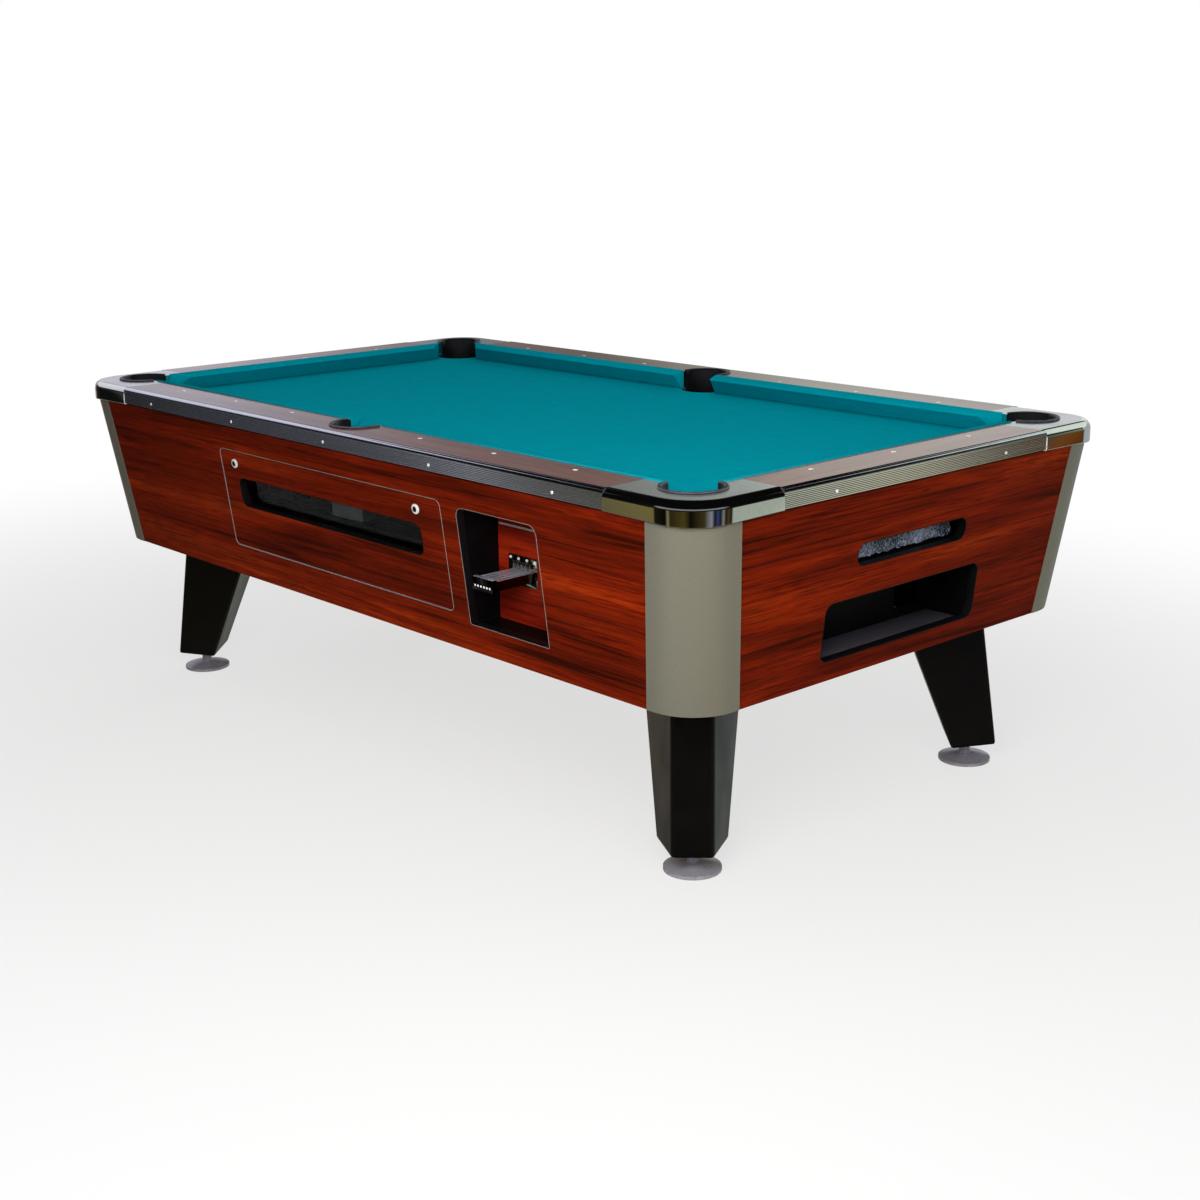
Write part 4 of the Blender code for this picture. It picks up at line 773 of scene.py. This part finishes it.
def panHead(name, radius, depth):
    screw = addShape(name, bpy.ops.mesh.primitive_cylinder_add, vertices=screwHead["sides"], radius=radius, depth=depth)
    bevelEdges(screw, depth * screwHead["round"], screwHead["segments"], topEdge)
    startEdit(screw, "FACE")
    for turn in (0, math.pi / 2):
        bpy.ops.mesh.primitive_cube_add(
            size=1, location=(0, 0, depth / 2), rotation=(0, 0, turn),
            scale=(radius * screwHead["crossLong"], radius * screwHead["crossWide"], depth * screwHead["crossDeep"]))
    endEdit()
    return screw


screwMiddle = coin["plateFront"] - plateScrew["depth"] / 2
plateScrews = [(f"plateScrew_{number}", (x, screwMiddle, plateScrew["height"]), (math.pi / 2, 0, 0))
               for number, x in enumerate(plateScrew["row"], 1)]
setCopies(panHead("plateScrewModel", plateScrew["radius"], plateScrew["depth"]), plateScrews,
          "table", "lock_chrome", "screw", smooth=35)

trimScrews = []
for side, turn in sideTurn.items():
    longSide = side in ("front", "rear")
    out = (table["halfWidth"] if longSide else table["halfLength"]) - trimScrew["face"] + trimScrew["depth"] / 2
    for number, along in enumerate(trimScrew["longSide" if longSide else "endSide"], 1):
        place = Matrix.Rotation(turn, 4, "Z") @ Vector((along, -out, trimScrew["height"]))
        trimScrews.append((f"trimScrew_{side}_{number}", place, (math.pi / 2, 0, turn)))
setCopies(panHead("trimScrewModel", trimScrew["radius"], trimScrew["depth"]), trimScrews,
          "table", "rail_trim", "screw", smooth=35)


# round guides on the coin plate and bars on the end of the slide

guide = {"radius": 0.0026, "sides": 16, "low": 0.5535, "high": 0.5705, "proud": 0.0021, "round": 0.0012, "segments": 3,
         "sharpEdge": 60, "row": (0.5035, 0.5165, 0.53, 0.5435, 0.5565)}
bar = {"size": (0.0040, 0.0012, 0.0042), "round": 0.0006, "segments": 2, "height": 0.5375,
       "row": [0.5065 + 0.0094 * i for i in range(6)]}

guideModel = addShape("guideModel", bpy.ops.mesh.primitive_cylinder_add, vertices=guide["sides"],
                      radius=guide["radius"], depth=guide["high"] - guide["low"])
bevelEdges(guideModel, guide["round"], guide["segments"], lambda edge: sharp(edge, guide["sharpEdge"]))
guideMiddle = (guide["low"] + guide["high"]) / 2
guides = [(f"coinGuide_{number}", (x, coin["plateFront"] - guide["proud"], guideMiddle), (0, 0, 0))
          for number, x in enumerate(guide["row"], 1)]
setCopies(guideModel, guides, "table", "lock_chrome", "polished", smooth=40)

barModel = addShape("barModel", bpy.ops.mesh.primitive_cube_add, bar["size"], size=1)
bevelEdges(barModel, bar["round"], bar["segments"], lambda edge: sharp(edge) and all(v.co.y < 0 for v in edge.verts))
bars = [(f"slideBar_{number}", (x, coin["slideFront"] - bar["size"][1] / 2, bar["height"]), (0, 0, 0))
        for number, x in enumerate(bar["row"], 1)]
# the slide's bars take the white screw finish: painted glints
setCopies(barModel, bars, "coin_slide", "steel", "screw", smooth=40)
print("coin plate and slide detailed")


# strip along the top of the coin recess's back panel, and the mat in the ball return

flatBars = {
    "recessTopStrip": {"low": (0.452, -0.5224, 0.638), "high": (0.692, -0.5204, 0.6425), "round": 0.0006,
                       "segments": 2, "finish": "tMould"},
    "ballReturnMat": {"low": (0.990, -0.2275, 0.4152), "high": (1.066, 0.2155, 0.4160), "round": 0.0004,
                      "segments": 2, "finish": "mat"},
}
for name, flat in flatBars.items():
    piece = addBlock(name, flat["low"], flat["high"])
    bevelEdges(piece, flat["round"], flat["segments"], sharp)
    dress(piece, "table", "black_board", flat["finish"], smooth=35)
print("recess strip and return mat laid")


# the film that the rack is wrapped in, bunched round its front bar

wrap = {
    "low": (1.026, -0.1665, 0.6042), "high": (1.0945, 0.1665, 0.6438), "corner": 0.016, "cornerSegments": 4,
    "uprightFrom": 0.01, "edge": 0.004, "edgeSegments": 3, "sharpEdge": 60, "voxel": 0.0018, "crinkle": 0.0085,
    "foldSize": 0.012, "foldDepth": 2,
}
piece = addBlock("rackFilm", wrap["low"], wrap["high"])
bevelEdges(piece, wrap["corner"], wrap["cornerSegments"],
           lambda edge: abs(edge.verts[0].co.z - edge.verts[1].co.z) > wrap["uprightFrom"])
bevelEdges(piece, wrap["edge"], wrap["edgeSegments"], lambda edge: sharp(edge, wrap["sharpEdge"]))
applyModifier(piece, "REMESH", mode="VOXEL", voxel_size=wrap["voxel"])
folds = bpy.data.textures.new("filmFolds", "CLOUDS")
folds.noise_scale = wrap["foldSize"]
folds.noise_depth = wrap["foldDepth"]
applyModifier(piece, "DISPLACE", texture=folds, strength=wrap["crinkle"], mid_level=1.0, texture_coords="LOCAL")
dress(piece, "triangle_rack", "rack", "film", smooth=60)
print("rack film bunched")


# camera and light

view = {
    "place": (3.21417, -2.73917, 1.44222), "azimuth": 0.8359, "elevation": 0.26806, "roll": -0.01325,
    "lens": 52.493, "sensor": 36.0,
}
cameraData = bpy.data.cameras.new("tableCamera")
cameraData.lens = view["lens"]
cameraData.sensor_width = view["sensor"]
camera = bpy.data.objects.new("tableCamera", cameraData)
bpy.context.scene.collection.objects.link(camera)
camera.matrix_world = (Matrix.Translation(view["place"]) @ Matrix.Rotation(view["azimuth"], 4, "Z")
                       @ Matrix.Rotation(math.pi / 2 - view["elevation"], 4, "X")
                       @ Matrix.Rotation(view["roll"], 4, "Z"))
bpy.context.scene.camera = camera

lamps = {
    "overheadSoftbox": {"place": (0.4, -0.4, 3.3), "aim": (0.2, -0.1, 0.6), "size": 3.6, "watts": 42},
    "frontSoftbox": {"place": (1.9, -2.25, 1.6), "aim": (0.9, -0.5, 0.55), "size": 1.5, "watts": 60},
    "footSoftbox": {"place": (2.8, -1.45, 1.6), "aim": (1.1, -0.3, 0.5), "size": 1.5, "watts": 30},
    "rearSoftbox": {"place": (-2.4, 3.6, 2.3), "aim": (-0.4, 0.2, 0.55), "size": 3.0, "watts": 64},
}
for name, lamp in lamps.items():
    light = bpy.data.lights.new(name, "AREA")
    light.shape = "DISK"
    light.size = lamp["size"]
    light.energy = lamp["watts"]
    holder = bpy.data.objects.new(name, light)
    bpy.context.scene.collection.objects.link(holder)
    holder.location = lamp["place"]
    holder.rotation_euler = (Vector(lamp["aim"]) - Vector(lamp["place"])).to_track_quat("-Z", "Y").to_euler()
    holder.visible_glossy = False  # gloss sees the surround below
    holder.visible_camera = False

# white to the camera; gloss sees rings of colours round the table, by compass turn in degrees. Over the level ring lie
# the lit ground, the dark below it, three rings above and a dark top; each fades in between two heights, which are
# the z of a direction one long
surround = {
    "soft": 0.15, "dark": "#0b0b0c",
    "heights": {"ground": (-0.31, -0.37), "nadir": (-0.55, -0.68), "upper": (0.02, 0.08), "middle": (0.19, 0.26),
                "high": (0.40, 0.46), "ceiling": (0.56, 0.60)},
    "level": [(-180, "#3a3834"), (-153.2, "#0d0d0f"), (-152.2, "#4c4c50"), (-143.2, "#6a6c72"), (-142, "#ffffff"),
              (-140.8, "#6e6c64"), (-138, "#6a6448"), (-133, "#7d7040"), (-129, "#1d1a10"), (-103, "#0a0906"),
              (-98, "#8a8463"), (-93, "#2e2814"), (-64, "#4d431f"), (-51, "#0b0a08"), (-22, "#3f371f"),
              (-8, "#8d9099"), (-2, "#0a0a0c"), (6, "#3a4670"), (12, "#0c0c10"), (19, "#85888f"), (23, "#14120c"),
              (30, "#4f4020"), (38, "#1c1a12"), (42, "#acb6ae"), (48.4, "#b0b8ac"), (49.2, "#d0d4c4"),
              (53, "#fffbe6"), (54.8, "#4a4d44"), (58, "#7a4512"), (61, "#15130f"), (68, "#aab4bf"),
              (168, "#b5a692")],
    "ground": [(-180, "#8a8882"), (-154, "#6f6f69"), (-135, "#7c7b70"), (-100, "#b4b2a2"), (-45, "#bdb69c"),
               (0, "#b8a886"), (30, "#a8977a"), (45, "#7c7466"), (58, "#8e968a"), (100, "#b3bbae"),
               (150, "#8c8a84")],
    "upper": [(-180, "#3a3a40"), (-150, "#2a2a2e"), (-138, "#121213"), (-90, "#101010"), (50, "#161716"),
              (56, "#5c6354"), (64, "#aab4a6"), (95, "#a9adab"), (118, "#f2f3fb"), (130, "#dfe9df"),
              (138, "#6a7069"), (143, "#85868a"), (151, "#e0e0ee"), (172, "#9a9aa2")],
    "middle": [(-180, "#f0f0fc"), (-157, "#e0e0ee"), (-151, "#0b0b0c"), (-136, "#0b0b0c"), (-122, "#8a8b8f"),
               (18, "#8a8b8f"), (36, "#0b0b0c"), (62.5, "#0b0b0c"), (67.5, "#eefaee"), (106, "#e6f0e6"),
               (113, "#2c2c2e"), (150, "#2c2c2e"), (168, "#f0f0fc")],
    "high": [(-180, "#f0f0fc"), (-157, "#e0e0ee"), (-151, "#0b0b0c"), (62.5, "#0b0b0c"), (67.5, "#eefaee"),
             (106, "#e6f0e6"), (113, "#0b0b0c"), (150, "#0b0b0c"), (168, "#f0f0fc")],
}
world = bpy.data.worlds.new("studioSurround")
bpy.context.scene.world = world
world.use_nodes = True
tree = world.node_tree
tree.nodes.clear()
direction = addNode(tree, "ShaderNodeTexCoord").outputs["Generated"]
along = addNode(tree, "ShaderNodeSeparateXYZ", {0: direction}).outputs
compass = addNode(tree, "ShaderNodeMath", {0: along["Y"], 1: along["X"]}, operation="ARCTAN2").outputs[0]
turn = addNode(tree, "ShaderNodeMapRange", {0: compass, 1: -math.pi, 2: math.pi}).outputs[0]
rings = {}
for ring in ("level", "ground", "upper", "middle", "high"):
    stops = [((degrees + 180) / 360, colour) for degrees, colour in surround[ring]]
    rings[ring] = addNode(tree, "ShaderNodeValToRGB", {0: turn}, stops=stops).outputs[0]
shade = rings["level"]
for ring, (start, full) in surround["heights"].items():
    band = rings.get(ring, linear(surround["dark"]))
    inBand = addNode(tree, "ShaderNodeMapRange", {0: along["Z"], 1: start, 2: full, 3: 0.0, 4: 1.0},
                     interpolation_type="SMOOTHSTEP").outputs[0]
    shade = addNode(tree, "ShaderNodeMix", {0: inBand, 6: shade, 7: band}, data_type="RGBA").outputs[2]
mirrored = addNode(tree, "ShaderNodeBackground", {"Color": shade, "Strength": 1.0}).outputs[0]
soft = addNode(tree, "ShaderNodeBackground", {"Color": linear("#ffffff"), "Strength": surround["soft"]}).outputs[0]
white = addNode(tree, "ShaderNodeBackground", {"Color": linear("#ffffff"), "Strength": 1.0}).outputs[0]
seen = addNode(tree, "ShaderNodeLightPath").outputs
mixed = addNode(tree, "ShaderNodeMixShader", {0: seen["Is Glossy Ray"], 1: soft, 2: mirrored}).outputs[0]
# through the window, a ray that has not yet met another surface sees the white as the camera does
bounces = addNode(tree, "ShaderNodeMath", {0: seen["Diffuse Depth"], 1: seen["Glossy Depth"]}, operation="ADD")
unlit = addNode(tree, "ShaderNodeMath", {0: bounces.outputs[0], 1: 0.5}, operation="LESS_THAN")
through = addNode(tree, "ShaderNodeMath", {0: seen["Is Transmission Ray"], 1: unlit.outputs[0]}, operation="MULTIPLY")
plain = addNode(tree, "ShaderNodeMath", {0: seen["Is Camera Ray"], 1: through.outputs[0]}, operation="MAXIMUM")
mixed = addNode(tree, "ShaderNodeMixShader", {0: plain.outputs[0], 1: mixed, 2: white}).outputs[0]
addNode(tree, "ShaderNodeOutputWorld", {0: mixed})


# pale floor that fades to the white surround away from the table

floor = {"radius": 14.0, "sides": 96, "level": -0.0005, "colour": "#c2c2c0", "lengthScale": 0.75, "fadeFrom": 1.0,
         "fadeTo": 3.0, "leastGlow": 0.68}
ground = addShape("paleFloor", bpy.ops.mesh.primitive_circle_add, vertices=floor["sides"], radius=floor["radius"],
                  fill_type="NGON", location=(0, 0, floor["level"]))
paint = bpy.data.materials.new("paleStudioFloor")
paint.use_nodes = True
tree = paint.node_tree
tree.nodes.clear()
seen = addNode(tree, "ShaderNodeLightPath").outputs
place = addNode(tree, "ShaderNodeTexCoord").outputs["Object"]
stretch = addNode(tree, "ShaderNodeMapping", {"Vector": place, "Scale": (floor["lengthScale"], 1.0, 1.0)})
far = addNode(tree, "ShaderNodeVectorMath", {0: stretch.outputs[0]}, operation="LENGTH").outputs["Value"]
fade = addNode(tree, "ShaderNodeMapRange", {0: far, 1: floor["fadeFrom"], 2: floor["fadeTo"], 3: floor["leastGlow"],
                                            4: 1.0}, interpolation_type="SMOOTHSTEP")
shown = addNode(tree, "ShaderNodeMath", {0: seen["Is Camera Ray"], 1: seen["Is Glossy Ray"]}, operation="MAXIMUM")
shown = addNode(tree, "ShaderNodeMath", {0: shown.outputs[0], 1: seen["Is Transmission Ray"]}, operation="MAXIMUM")
share = addNode(tree, "ShaderNodeMath", {0: shown.outputs[0], 1: fade.outputs[0]}, operation="MULTIPLY")
matt = addNode(tree, "ShaderNodeBsdfDiffuse", {"Color": linear(floor["colour"])})
glow = addNode(tree, "ShaderNodeEmission", {"Color": linear("#ffffff"), "Strength": 1.0})
mixed = addNode(tree, "ShaderNodeMixShader", {0: share.outputs[0], 1: matt.outputs[0], 2: glow.outputs[0]})
addNode(tree, "ShaderNodeOutputMaterial", {0: mixed.outputs[0]})
ground.data.materials.append(paint)
ground.visible_glossy = False  # gloss sees the surround, below the horizon too
print("camera, lamps and floor set")
